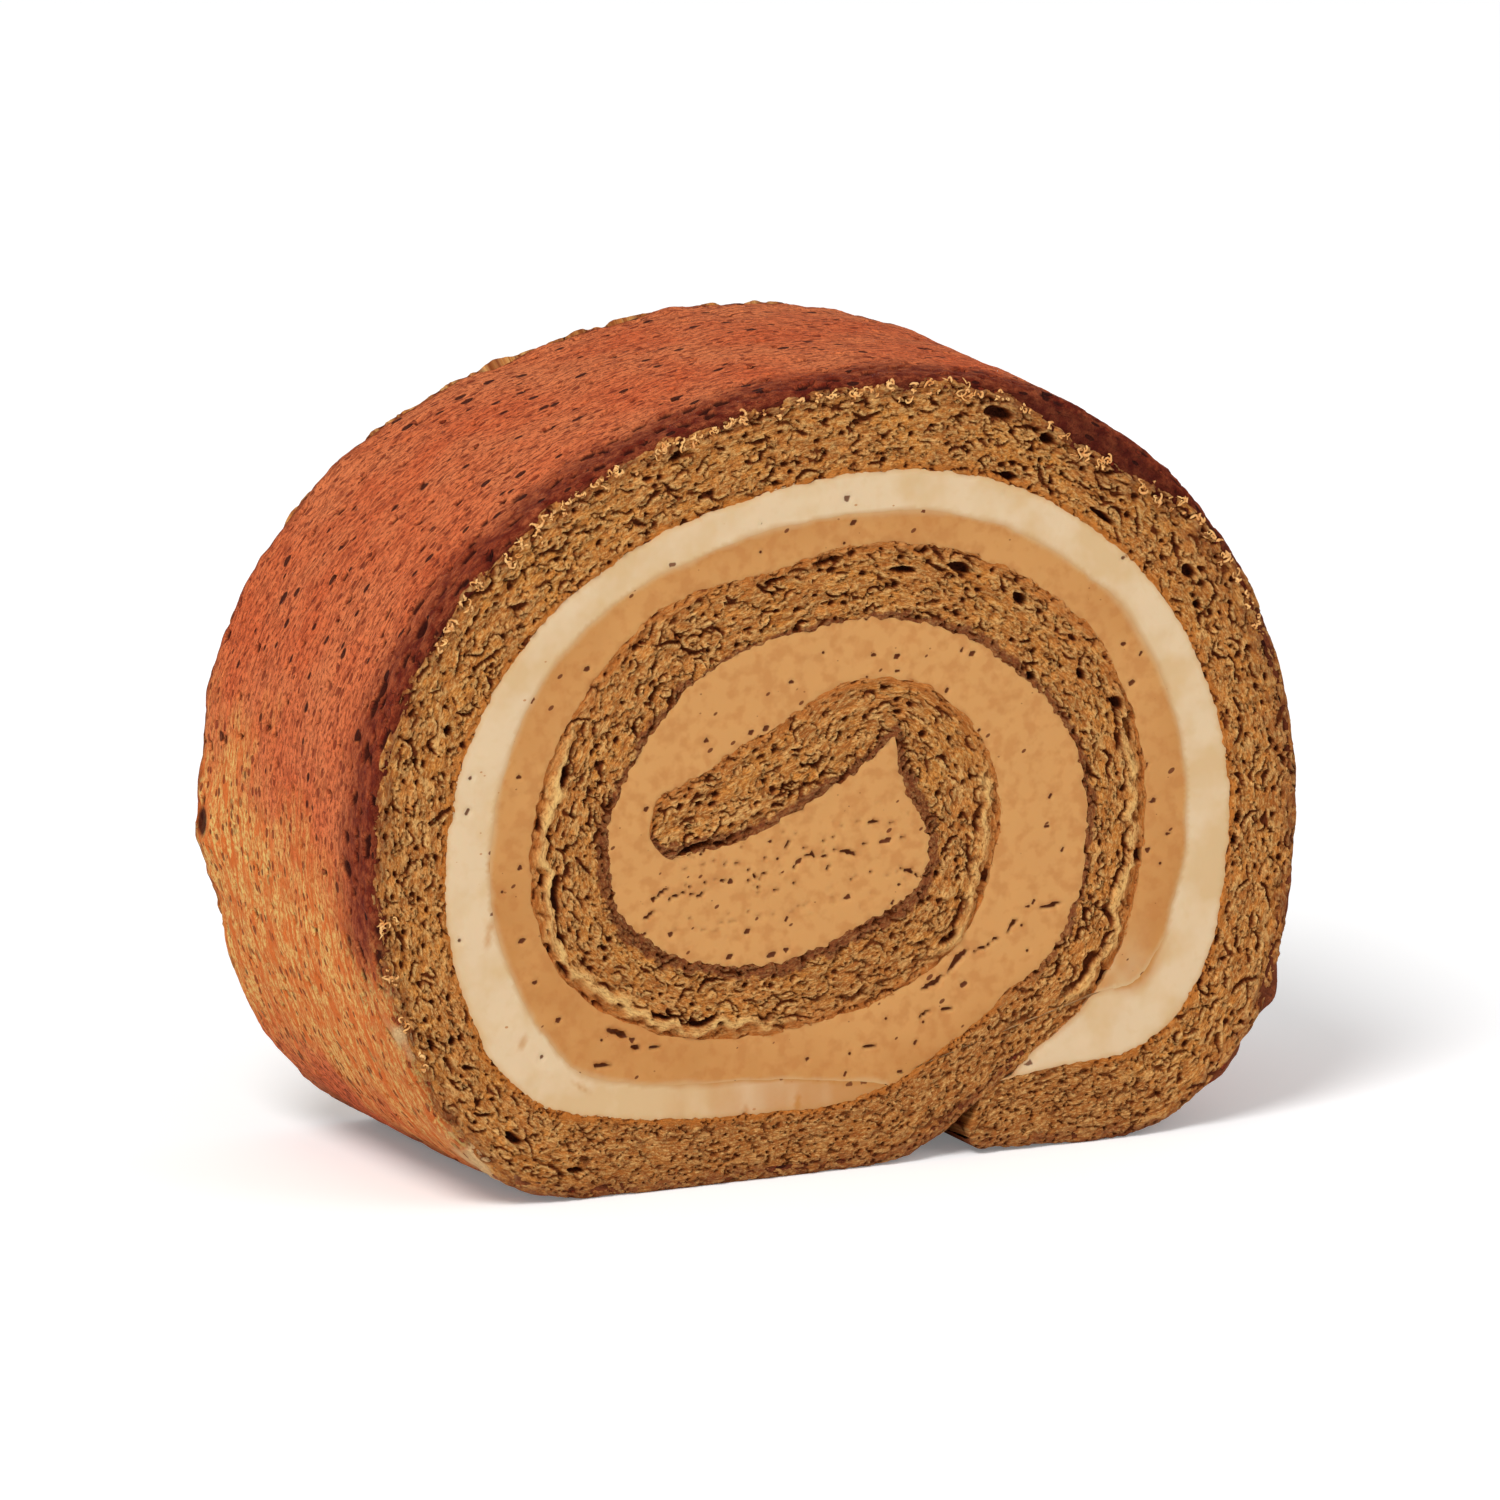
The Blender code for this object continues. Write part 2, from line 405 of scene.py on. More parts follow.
def dull_amount(station):
    """The finer, duller crumb that the cake's weight has pressed on its base."""
    base = smooth_step(24.6, 26.0, station) * (1 - smooth_step(30.5, 32.5, station))
    outer_end = 1 - smooth_step(2.5, 5.5, station)
    inner_base = smooth_step(45.5, 46.5, station) * (1 - smooth_step(47.5, 48.5, station))
    return np.clip(base + outer_end + 0.5 * inner_base, 0, 1)


def skin_depth(station):
    """How far the dark skin reaches in from the roll's outside on a cut face."""
    thick_shoulder = 2.3 * bump_at(station, 12.35, 0.85)
    base = smooth_step(24.3, 25.0, station) + 1 - smooth_step(4.0, 5.0, station)
    ragged = 0.25 * noise(station * 5, station * 0, 31) + 0.12 * noise(station * 14, station * 0, 32)
    right = smooth_step(4.0, 5.0, station) * (1 - smooth_step(10.2, 11.4, station))
    return (0.75 + ragged) * (1 - 0.6 * base - 0.5 * right) + thick_shoulder


def slits(x, y, seed, cell, half_size, share):
    """Short curved gaps torn in the crumb, at most one to a cell of the given length and height in mm: how
    open each place is, and the raised pale lip along one side of each gap, which is also painted as a
    highlight."""
    ix, iy = np.floor(x / cell[0]), np.floor(y / cell[1])
    gap, lip = np.zeros(x.shape), np.zeros(x.shape)
    for step_x in (-1, 0, 1):
        for step_y in (-1, 0, 1):
            column, row = ix + step_x, iy + step_y
            random = [hashed(column, row, seed + k) for k in range(7)]
            dx = x - (column + random[0]) * cell[0]
            dy = y - (row + random[1]) * cell[1]
            angle = (random[2] - 0.5) * 1.5
            u = dx * np.cos(angle) + dy * np.sin(angle)
            v = dy * np.cos(angle) - dx * np.sin(angle)
            half_length = half_size[0] * (0.5 + random[3])
            half_width = half_size[1] * (0.6 + 0.9 * random[4])
            bend = (random[5] - 0.5) * 1.6
            v = v + bend * u ** 2 / half_length - 0.3 * bend * half_length
            v = v * np.where(bend < 0, -1, 1)
            shown = random[6] < share
            taper = np.sqrt(np.clip(1 - (u / half_length) ** 2, 0, 1)) * shown
            reach = np.abs(v) / (half_width * taper + 0.01)
            gap = np.maximum(gap, (taper > 0) * (1 - smooth_step(0.7, 1.15, reach)))
            lip = np.maximum(lip, taper * bump_at(v, -half_width * taper - 0.11, 0.12))
    return gap, lip


def bubbles(x, y, seed, share, largest):
    """Round pores: how open each place is, from 0 to 1."""
    near, _, number, _, _ = cells(x, y, seed)
    size = np.clip((number - 1 + share) / share, 0, 1)
    radius = 0.10 + (largest - 0.10) * size
    return (size > 0) * (1 - smooth_step(radius * 0.6, radius, near))


def open_crumb(s, t, seed):
    """Relief in mm of crumb torn open by the cut, with its gaps and its pale lips."""
    dull = dull_amount(sheet.station_at(s))
    pressed = 1 - 0.5 * dull
    curl_s = s + 0.16 * noise(s / 0.6, t / 0.5, seed)
    curl_t = t + 0.12 * noise(s / 0.6, t / 0.5, seed + 2)
    gap, lip = slits(curl_s, curl_t, seed + 10, (1.8, 1.05), (0.66, 0.125), 0.48)
    large_gap, large_lip = slits(curl_s, curl_t, seed + 90, (3.0, 1.7), (1.0, 0.16), 0.34)
    fine_gap, fine_lip = slits(curl_s, curl_t, seed + 20, (1.0, 0.62), (0.36, 0.065), 0.5)
    pore = bubbles(curl_s / 1.5, curl_t / 1.1, seed + 30, 0.48, 0.30)
    small_pore = bubbles(s / 0.62, t / 0.5, seed + 40, 0.36, 0.36)
    winding = noise(curl_s / 1.1 + 0.5 * noise(s / 0.8, t / 0.5, seed + 50), curl_t / 0.55, seed + 51)
    strand = (1 - smooth_step(0.0, 0.22, np.abs(winding))) * pressed
    gap = np.maximum(np.maximum(gap, 1.3 * large_gap) * (1 - 0.6 * dull), 0.8 * fine_gap)
    lip = np.maximum(lip, 1.2 * large_lip)
    hole = np.maximum(pore * pressed, small_pore * (0.4 + 0.4 * dull))
    lip = np.maximum(np.maximum(lip, 0.8 * fine_lip) * pressed, 0.7 * strand)
    lumps = 0.18 * fractal(s / 3.2, t / 1.6, seed + 60) + 0.20 * noise(curl_s / 0.9, curl_t / 0.5, seed + 63)
    height = lumps * pressed + 0.24 * lip - 0.34 * gap - 0.60 * hole
    return height, np.maximum(0.6 * gap, 0.85 * hole), np.clip(lip * (1 - hole) * (1 - gap), 0, 1)


def large_holes(points, s):
    """The large holes at points (x, z) of the front face: how open each place is, and the raised lip on each
    hole's upper side, painted pale as a highlight."""
    along, inward = sheet.directions(s)
    open_share = np.zeros(s.shape)
    lip = np.zeros(s.shape)
    wobble = 0.28 * noise(points[..., 0] / 0.6, points[..., 1] / 0.6, 5)
    for x, z, length, height in LARGE_HOLES:
        to_hole = points - np.array([x, z])
        u = (to_hole * along).sum(-1) / length * 2
        v = (to_hole * inward).sum(-1) / height * 2
        reach = np.hypot(u, v) + wobble
        open_share = np.maximum(open_share, 1 - smooth_step(0.75, 1.1, reach))
        lip = np.maximum(lip, bump_at(reach, 1.3, 0.22) * smooth_step(0.1, 0.6, -v))
    return open_share, lip


def peeled_side(s, from_outer, station, seed):
    """The pale ridge peeled from the sheet's outer side, the gaps behind it and the
    toasted zone outside it."""
    amount = peel_amount(station)
    ridge_at = 1.25 + 0.5 * noise(s / 3.1, s * 0, seed + 80) + 0.38 * noise(s / 1.0, s * 0, seed + 81)
    off_ridge = from_outer - ridge_at
    ridge = amount * bump_at(off_ridge, 0, 0.40 + 0.18 * noise(s / 0.9, s * 0, seed + 85))
    open_here = smooth_step(-0.35, 0.1, noise(s / 1.9, s * 0, seed + 82))
    gap_width = 0.22 + 0.42 * np.clip(noise(s / 1.5, s * 0, seed + 83), 0, 1)
    gap = amount * open_here * (1 - smooth_step(gap_width * 0.6, gap_width, np.abs(off_ridge - 0.74)))
    outside = amount * (1 - smooth_step(-0.35, -0.05, off_ridge))
    side_pits = bubbles(s / 1.9, from_outer / 1.1, seed + 84, 0.45, 0.33) * outside
    return ridge, np.maximum(gap, side_pits), outside


def crumb_surface(s, across, side):
    """Places and masks of the crumb on one cut face. across runs from 0 at the sheet's
    outer side to 1 at its inner side, and side is -1 for the front and 1 for the back."""
    seed = 100 if side < 0 else 300
    station = sheet.station_at(s)
    has_skin = 1 - smooth_step(SKIN_END - 0.4, SKIN_END, station)
    inner_turn = smooth_step(INNER_TURNS, INNER_TURNS + 2, station)
    outer = sheet.outer_edge(s) + skin_depth(station) * has_skin * smooth_step(-0.5, 2, s)
    outer = np.minimum(outer, 0)
    inner = np.maximum(sheet.inner_edge(s), 0)
    t = outer + (inner - outer) * across
    points = sheet.place(s, t)
    from_outer, from_inner = t - outer, inner - t

    height, gap, lip = open_crumb(s, t, seed)
    ridge, peel_gap, outside = peeled_side(s, from_outer, station, seed)
    height = height * (1 - 0.3 * outside) * (1 - 0.5 * ridge) + 0.6 * ridge - 0.25 * outside
    gap = np.maximum(gap * (1 - ridge) * (1 - 0.6 * outside), peel_gap)
    height = height - 0.9 * peel_gap
    lip = np.maximum(lip, ridge)
    if side < 0:
        hole, hole_lip = large_holes(points, s)
        height = np.minimum(height, 0.3) - 1.1 * hole + 0.2 * hole_lip
        gap = np.maximum(gap * (1 - hole_lip), hole)
        lip = np.maximum(lip * (1 - hole), hole_lip)
    flatten = smooth_step(0, 0.4, from_inner) * smooth_step(-0.3, 0.4, from_outer)
    tucked = has_skin * (1 - smooth_step(0.0, 0.3, from_outer))
    height = height * flatten - 0.35 * tucked - 0.03 * (1 - smooth_step(0, 0.4, from_inner))
    level = side * (HALF_SLICE + height - CRUMB_SINK)
    places = np.stack([points[..., 0], level, points[..., 1]], -1)

    ragged = 0.35 * fractal(s / 1.3, t / 1.1, seed + 70, 2) + 0.2 * noise(s / 0.35, t / 0.35, seed + 73)
    near_cream = 1 - smooth_step(0.3, 1.0, from_inner + 0.6 * ragged)
    broken = smooth_step(-0.5, 0.3, noise(s / 1.3, t / 0.6, seed + 86))
    rim_reach = 2.2 + 2.0 * bump_at(station, 10.3, 2.2)
    skin_line = 0.65 + 0.6 * smooth_step(41, 43, station) + 0.35 * noise(s / 5, s * 0, seed + 75)
    masks = {
        "strip": np.stack([s, t, station * 0 + side * 7], -1),
        # gap: where painted shade darkens the gaps, pores, holes and the gaps behind the peeled ridge
        "gap": np.clip(gap, 0, 1),
        # lip: pale lips and strands of the crumb, also painted as highlights
        "lip": np.clip(lip, 0, 1) * (1 - np.clip(gap, 0, 1)),
        "inner_skin": inner_turn * (1 - smooth_step(-0.15, 0.15, from_inner + ragged - skin_line)),
        "cream_side": (1 - inner_turn) * near_cream * smooth_step(6, 12, s),
        "outer_side": inner_turn * (1 - smooth_step(0.2, 1.6, from_outer + 1.3 * ragged)),
        "outside": np.clip(outside, 0, 1),
        "ridge": np.clip(ridge, 0, 1) * broken,
        "rim_shade": has_skin * (1 - smooth_step(0.2, rim_reach, from_outer + 1.4 * ragged)),
        "dull": dull_amount(station),
    }
    return places, masks


def crumb_piece(name, side, first, last, step_along, rows, material):
    """One cut face of the crumb between two places along the sheet, in mm, with walls
    that run back to the middle of the slice."""
    columns = int((last - first) / step_along)
    steps_across, steps_along = np.linspace(0, 1, rows), np.linspace(first, last, columns)
    across, s = np.meshgrid(steps_across, steps_along, indexing="ij")
    places, masks = crumb_surface(s, across, side)
    outer_walls = [wall_row(places[0], places[1], depth, side) for depth in (1, 0)]
    inner_wall = wall_row(places[-1], places[-2], 0, side)
    places = np.stack([outer_walls[1], outer_walls[0], places[0], *places, places[-1], inner_wall])
    for title, values in masks.items():
        with_walls = np.concatenate([values[:1]] * 3 + [values] + [values[-1:]] * 2)
        masks[title] = with_walls.reshape(-1, *values.shape[2:])
    faces = grid_faces(rows + 5, columns, flip=side > 0)
    faces = faces[~np.isin(faces.min(axis=1) // columns, (2, rows + 2))]
    corners = places.reshape(-1, 3)[faces]
    uv = face_uv(corners)
    quad_row = faces.min(axis=1) // columns
    along = (faces % columns) / columns * 0.98 + 0.01
    depth_share = np.clip(1 - np.abs(corners[..., 1]) / (HALF_SLICE + 1), 0, 1)
    for band, rows_here in enumerate(((0, 1), (rows + 3,))):
        walls = np.isin(quad_row, rows_here)
        uv[walls, :, 0] = along[walls]
        uv[walls, :, 1] = (band + 0.1 + 0.8 * depth_share[walls]) * WALL_SHARE
    points = places.reshape(-1, 3)
    return make_piece(name, points, faces.tolist(), material, "sponge", masks, uv)


def wall_row(edge, next_row, share, side):
    """A row of the wall behind the face's edge: at the middle of the slice for share 0,
    and just behind the face for share 1, drawn in so that it stays under the skin."""
    inwards = next_row - edge
    inwards[:, 1] = 0
    inwards /= np.maximum(np.linalg.norm(inwards, axis=1), 1e-6)[:, None]
    row = edge + inwards * 1.2
    row[:, 1] = side * (HALF_SLICE - 1.5) * share
    row[:, 2] = np.maximum(row[:, 2], 0.3)
    return row


# ---------------------------------------------------------------- baked skin

EDGE_RADIUS = 1.3       # rounding of the slice's edges, in mm
LIP = 0.7               # how far the skin reaches over the crumb's edge
SKIN_COLUMNS = 735      # mesh points along the skin
FLAT_ROWS = 102         # and across it between the rounded edges

# Lumps and dents of the roll's outside: station, place across the slice in mm, reach
# along the sheet, reach across the slice and height
OUTLINE_LUMPS = [
    (6.1, -17.0, 1.5, 3.5, 0.9),
    (6.75, -17.0, 1.0, 3.0, -0.6),
    (5.5, -17.0, 0.9, 3.0, -0.35),
    (5.0, -17.0, 1.8, 4.0, 0.65),
    (4.2, -17.0, 1.2, 4.0, -0.3),
    (21.55, 15.5, 2.6, 2.4, 1.0),
    (22.4, 17.0, 1.6, 3.0, -0.4),
    (20.3, 12.0, 3.0, 6.0, 0.3),
    (18.0, 16.0, 2.5, 5.0, 0.3),
    (16.3, 17.0, 2.2, 6.0, -0.35),
    (14.8, 17.0, 2.4, 5.0, 0.3),
    (12.9, 10.0, 3.0, 9.0, 0.25),
]


def skin_profile(lip_width):
    """Inset and place across the slice of each row of the skin, from the front lip over
    the outside to the back lip, and how much each row faces outwards."""
    lip_rows = np.linspace(0, 1, 6)[:-1]
    arc = np.linspace(0, math.pi / 2, 7)
    flat_end = HALF_SLICE - EDGE_RADIUS
    flat = np.linspace(-flat_end, flat_end, FLAT_ROWS + 2)[1:-1]
    lip_inset = lip_width + (EDGE_RADIUS - lip_width) * lip_rows[:, None]
    arc_inset = np.repeat(EDGE_RADIUS * (1 - np.sin(arc))[:, None], lip_width.size, 1)
    flat_inset = np.zeros((flat.size, lip_width.size))
    inset = np.concatenate([lip_inset, arc_inset, flat_inset, arc_inset[::-1], lip_inset[::-1]])
    front = np.concatenate([lip_rows * 0 - HALF_SLICE, -HALF_SLICE + EDGE_RADIUS * (1 - np.cos(arc))])
    across = np.concatenate([front, flat, -front[::-1]])
    turn = np.concatenate([lip_rows * 0, np.sin(arc)])
    outwards = np.concatenate([turn, flat * 0 + 1, turn[::-1]])
    return inset, across, outwards


def skin_piece(name, material):
    """The baked outside of the roll, from the outer end round to the seam."""
    start, end = -NOSE * 0.99, sheet.distance_at(SKIN_END)
    columns = SKIN_COLUMNS
    s = np.linspace(start, end, columns)
    station = sheet.station_at(s)
    half = -np.interp(station, *zip(*OUTER_EDGE_MOVES)) + sheet.half_sponge(s)
    lip_width = np.maximum(skin_depth(station) + LIP, EDGE_RADIUS + 0.1)
    lip_width = np.minimum(lip_width, np.maximum(half * 1.6, 0.05))
    inset, across, outwards = skin_profile(lip_width)
    inset = np.minimum(inset, half * 1.8)
    rows = inset.shape[0]
    s_grid = np.repeat(s[None], rows, 0)
    y = np.repeat(across[:, None], columns, 1)
    facing = np.repeat(outwards[:, None], columns, 1)

    pit = skin_pits(s_grid, y) * facing
    height = skin_relief(s_grid, y) - 0.55 * pit
    height = height * smooth_step(-0.5, 1.5, s_grid)
    points = sheet.place(s_grid, -half + inset - height * facing)
    slump = 0.5 * smooth_step(0, HALF_SLICE, y) * smooth_step(35, 68, points[..., 1])
    lip_level = 0.30 + 0.16 * fractal(s_grid / 1.1, inset / 0.7, 235)
    on_lip = (1 - facing) * (0.3 * height - lip_level)
    y_moved = y + np.sign(y) * on_lip
    places = np.stack([points[..., 0], y_moved, np.maximum(points[..., 1] - slump, 0)], -1)

    masks = {
        "strip": np.stack([s_grid, y, inset], -1).reshape(-1, 3),
        # pit: also where painted shade darkens the pits
        "pit": pit.ravel(),
        "rim": rim_amount(s_grid, y).ravel(),
        "under": under_amount(s_grid, y).ravel(),
        "base": base_amount(s_grid, y).ravel(),
        "lip": (1 - facing).ravel(),
        "bare": bare_amount(s_grid, y).ravel(),
    }
    faces = grid_faces(rows, columns, flip=True)
    uv = banded_uv(faces, rows, columns)
    return make_piece(name, places.reshape(-1, 3), faces.tolist(), material, "sponge", masks, uv)


def skin_relief(s, y):
    """Height in mm of the skin over the even roll: swells, ripples and single lumps."""
    height = 0.26 * fractal(s / 9, y / 12, 205) + 0.12 * fractal(s / 2.6, y / 3.4, 215) - 0.28
    height = height + 0.06 * fractal(s / 1.1, y / 0.7, 225)
    near_rim = bump_at(HALF_SLICE - np.abs(y), 0, 3)
    height = height + near_rim * 0.22 * fractal(s / 1.6, y / 1.6, 228)
    for station, across, reach_s, reach_y, lump in OUTLINE_LUMPS:
        away = (s - sheet.distance_at(station)) / reach_s
        height = height + lump * np.exp(-away ** 2 - ((y - across) / reach_y) ** 2)
    return height


def skin_pits(s, y):
    """Burst bubbles in the skin, from 0 to 1, larger and closer by the front edge."""
    warped_s = s + 0.3 * fractal(s / 1.2, y / 1.2, 180)
    near_rim = 1 - smooth_step(4.0, 7.5, y + HALF_SLICE)
    near_rim = near_rim * (1 - smooth_step(22.4, 23.0, sheet.station_at(s)))
    in_rim = 1.3 * bubbles(warped_s / 2.4, y / 2.0, 190, 0.9, 0.42) * near_rim
    elsewhere = 0.9 * bubbles(warped_s / 2.6, y / 2.0, 195, 0.36, 0.20)
    side_hole = bump_at(s, sheet.distance_at(21.5), 1.1) * bump_at(y, 15.6, 1.0)
    return np.clip(np.maximum(np.maximum(in_rim, elsewhere), 1.3 * side_hole), 0, 1)


def rim_amount(s, y):
    """The darker skin beside the cut faces, broad at the front and ragged inwards."""
    from_edge = HALF_SLICE - np.abs(y)
    width = 6.2 + 2.0 * fractal(s / 7, y / 30, 245) + 0.9 * fractal(s / 1.3, y / 1.2, 246)
    width = np.where(y < 0, width, 0.22 * width)
    dusted = 1 - 0.85 * smooth_step(21.7, 22.7, sheet.station_at(s))
    return (1 - smooth_step(0.4, 1.3, from_edge / width)) * dusted


def under_amount(s, y):
    """The paler, streaked lower left of the skin, where the dusting has rubbed off."""
    place = sheet.station_at(s) + 0.8 * fractal(s / 8, y / 5, 250) + 0.04 * (y - HALF_SLICE)
    return smooth_step(19.9, 21.2, place) * (1 - smooth_step(22.9, 24.1, place))


def base_amount(s, y):
    """The brown underside, and the browner right side above it."""
    station = sheet.station_at(s) + 0.3 * noise(s / 3, y / 3, 255)
    right = 0.7 * (1 - smooth_step(9.6, 11.6, station))
    return smooth_step(24.2, 25.2, station) + np.maximum(1 - smooth_step(4.5, 6.5, station), right)


def bare_amount(s, y):
    """Small patches by the lower left edge where the skin has come off the crumb."""
    place = sheet.station_at(s) + 0.25 * noise(s / 1.2, y / 1.2, 260)
    patch = bump_at(place, 24.55, 0.30) * bump_at(y, -16.6, 1.8)
    ledge = bump_at(place, 22.9, 0.16) * bump_at(y, -17.4, 0.9)
    return np.clip(1.6 * patch + 1.4 * ledge, 0, 1)


def banded_uv(faces, rows, columns):
    """The long skin laid out in three bands, one above another, on the bake map."""
    bands = 3
    per_band = math.ceil((columns - 1) / bands)
    face_column = (faces % columns).min(axis=1)
    band = face_column // per_band
    column = faces % columns - (band * per_band)[:, None]
    row = faces // columns
    u = column / per_band * 0.98 + 0.01
    v = (band[:, None] + row / (rows - 1) * 0.96 + 0.02) / bands
    return np.stack([u, v], -1)


# ---------------------------------------------------------------- loose curls

# Stretches of the rim with pale curled crumbs: first and last station and how many
CURL_STRETCHES = [
    (12.2, 13.6, 16),
    (13.6, 15.2, 24),
    (15.3, 16.6, 20),
    (16.7, 18.2, 22),
    (18.4, 19.2, 10),
    (10.0, 11.9, 22),
    (21.6, 23.6, 10),
]
CURL_SIDES = 6          # round the curl's own thickness
CURL_RINGS = 8          # along it


def curl_shape(ring_radius, thickness, turn, lean, numbers):
    """Points of one bent, uneven strand of crumb round its own centre."""
    angle = np.linspace(0, turn, CURL_RINGS)
    taper = np.sin(np.linspace(0.25, math.pi - 0.25, CURL_RINGS)) ** 0.4
    uneven = np.interp(np.linspace(0, 4, CURL_RINGS), range(5), numbers[:5] * 2 - 1)
    reach = ring_radius * (1 + 0.7 * uneven)
    middle = np.stack([np.cos(angle), 0.5 * uneven, np.sin(angle)], -1) * reach[:, None]
    outward = np.stack([np.cos(angle), angle * 0, np.sin(angle)], -1)
    thickness = thickness * taper * (1 - 0.35 * uneven[::-1])
    points = []
    for side in range(CURL_SIDES):
        a = 2 * math.pi * side / CURL_SIDES
        spoke = outward * math.cos(a) + np.array([0, math.sin(a), 0])
        points.append(middle + spoke * thickness[:, None])
    points = np.stack(points, 1).reshape(-1, 3)
    cos, sin = math.cos(lean), math.sin(lean)
    rotation = np.array([[cos, 0, -sin], [0, 1, 0], [sin, 0, cos]])
    return points @ rotation.T


def curl_faces(start):
    """Quads of one strand whose points begin at the given number, with both ends closed."""
    faces = []
    for ring in range(CURL_RINGS - 1):
        for side in range(CURL_SIDES):
            a = start + ring * CURL_SIDES + side
            b = start + ring * CURL_SIDES + (side + 1) % CURL_SIDES
            faces.append((a, b, b + CURL_SIDES, a + CURL_SIDES))
    faces.append(tuple(start + side for side in reversed(range(CURL_SIDES))))
    last = start + (CURL_RINGS - 1) * CURL_SIDES
    faces.append(tuple(last + side for side in range(CURL_SIDES)))
    return faces


def curls_piece(name, material):
    """Pale curled crumbs standing along the rim of both cut faces."""
    points, faces, sizes = [], [], []
    index = 0
    for first, last, count in CURL_STRETCHES:
        for number in range(count * 3):
            index += 1
            row = np.arange(12)
            random = hashed(row, row * 0 + index, 900)
            side = -1 if number < count * 2.2 else 1
            cluster = math.floor(random[0] * count / 2.5) * 2.5 / count
            station = first + (last - first) * (cluster + 0.6 / count * (random[7] + random[8] * 2))
            s = np.array([sheet.distance_at(station)])
            least_depth = 0.9 if station > 12.2 else 1.5
            depth = max(skin_depth(np.array([station]))[0] + 0.2, least_depth) + 1.1 * random[1] ** 2
            depth = depth + (0 if side < 0 else 1.2)
            centre = sheet.place(s, -sheet.half_sponge(s) + depth)[0]
            ring = 0.14 + 0.30 * random[2] ** 1.5
            thickness, turn = 0.08 + 0.07 * random[3], 0.9 + 2.6 * random[4]
            strand = curl_shape(ring, thickness, turn, 6.3 * random[5], random[6:])
            y = side * (HALF_SLICE + 0.14 * random[11] - 0.08)
            faces += curl_faces(len(points) * CURL_SIDES * CURL_RINGS)
            points.append(strand + np.array([centre[0], y, centre[1]]))
            sizes.append(np.full(CURL_SIDES * CURL_RINGS, random[3]))
    points = np.vstack(points)
    masks = {"pale": np.concatenate(sizes)}
    uv = np.concatenate([curl_uv(face, number, len(faces)) for number, face in enumerate(faces)])
    return make_piece(name, points, faces, material, "sponge", masks, uv)


def curl_uv(face, number, total):
    """A small square of the bake map for each face of the curls."""
    across = math.ceil(math.sqrt(total))
    corner = np.array([number % across, number // across])
    angle = np.linspace(0, 2 * math.pi, len(face), endpoint=False) + math.pi / 4
    return (corner + 0.5 + 0.42 * np.stack([np.cos(angle), np.sin(angle)], -1)) / across


# ---------------------------------------------------------------- creams


TUCK = 0.12      # how far the creams reach under the crumb's edge, in mm


def white_edge(s):
    """Offset of the white cream's inner side, a little wavy."""
    white = sheet.white(s)
    moved = np.interp(sheet.station_at(s), *zip(*WHITE_EDGE_MOVES))
    wavy = 0.16 * fractal(s / 4.5, s * 0, 41) + 0.05 * noise(s / 0.9, s * 0, 43)
    edge = sheet.half_sponge(s) + white + 0.3 * smooth_step(0, 0.5, white) + moved + wavy
    return np.maximum(edge, sheet.inner_edge(s))


def white_lines(step):
    """The white cream's two long sides: along the sponge and along the coffee cream."""
    s = np.arange(sheet.distance_at(WHITE_START), sheet.distance_at(WHITE_END), step)
    return sheet.place(s, sheet.inner_edge(s) - TUCK), sheet.place(s, white_edge(s))


def white_outline(step):
    """Outline of the white cream: along the sponge and back along the coffee cream."""
    on_sponge, on_coffee = white_lines(step)
    return np.vstack([on_sponge, on_coffee[-2:0:-1]])


def coffee_outline(step):
    """Outline of the coffee cream: in to the core, round the tip and back out."""
    s = np.arange(sheet.distance_at(COFFEE_START), sheet.length, step)
    on_white = s < sheet.distance_at(WHITE_END)
    inwards = sheet.place(s, np.where(on_white, white_edge(s), sheet.inner_edge(s) - TUCK))
    s_tip = sheet.length + TIP * np.sin(np.linspace(0, math.pi / 2, 14))[:-1]
    tip_in = sheet.place(s_tip, sheet.inner_edge(s_tip) - TUCK)
    tip_out = sheet.place(s_tip, sheet.outer_edge(s_tip) + TUCK)[::-1]
    s_back = np.arange(sheet.length, sheet.distance_at(COFFEE_START_ON_SPONGE), -step)
    outwards = sheet.place(s_back, sheet.outer_edge(s_back) + TUCK)
    return np.vstack([inwards, tip_in, tip_out, outwards])


def face_points(outline, spacing):
    """Evenly spread points inside an outline, with the triangles that join them."""
    low, high = outline.min(0), outline.max(0)
    xs = np.arange(low[0], high[0], spacing)
    zs = np.arange(low[1], high[1], spacing * 0.866)
    grid_x, grid_z = np.meshgrid(xs, zs)
    grid_x = grid_x + spacing / 2 * (np.arange(len(zs)) % 2)[:, None]
    grid = np.stack([grid_x.ravel(), grid_z.ravel()], -1)
    grid = grid[inside(grid, outline) & (distance_to_line(grid, outline) > spacing * 0.55)]
    corners = [Vector(point) for point in np.vstack([outline, grid]).tolist()]
    border = list(range(len(outline)))
    points, _, faces, _, _, _ = delaunay_2d_cdt(corners, [], [border], 2, 1e-6)
    return np.array([tuple(point) for point in points]), [tuple(face) for face in faces]


def distance_to_line(points, line):
    """Distance from each point to the nearest place on a line of points."""
    edge = line[1:] - line[:-1]
    length = np.maximum((edge ** 2).sum(-1), 1e-9)
    result = np.empty(len(points))
    for first in range(0, len(points), 2000):
        part = points[first:first + 2000, None]
        t = np.clip(((part - line[:-1]) * edge).sum(-1) / length, 0, 1)
        result[first:first + 2000] = np.linalg.norm(line[:-1] + t[..., None] * edge - part, axis=-1).min(1)
    return result


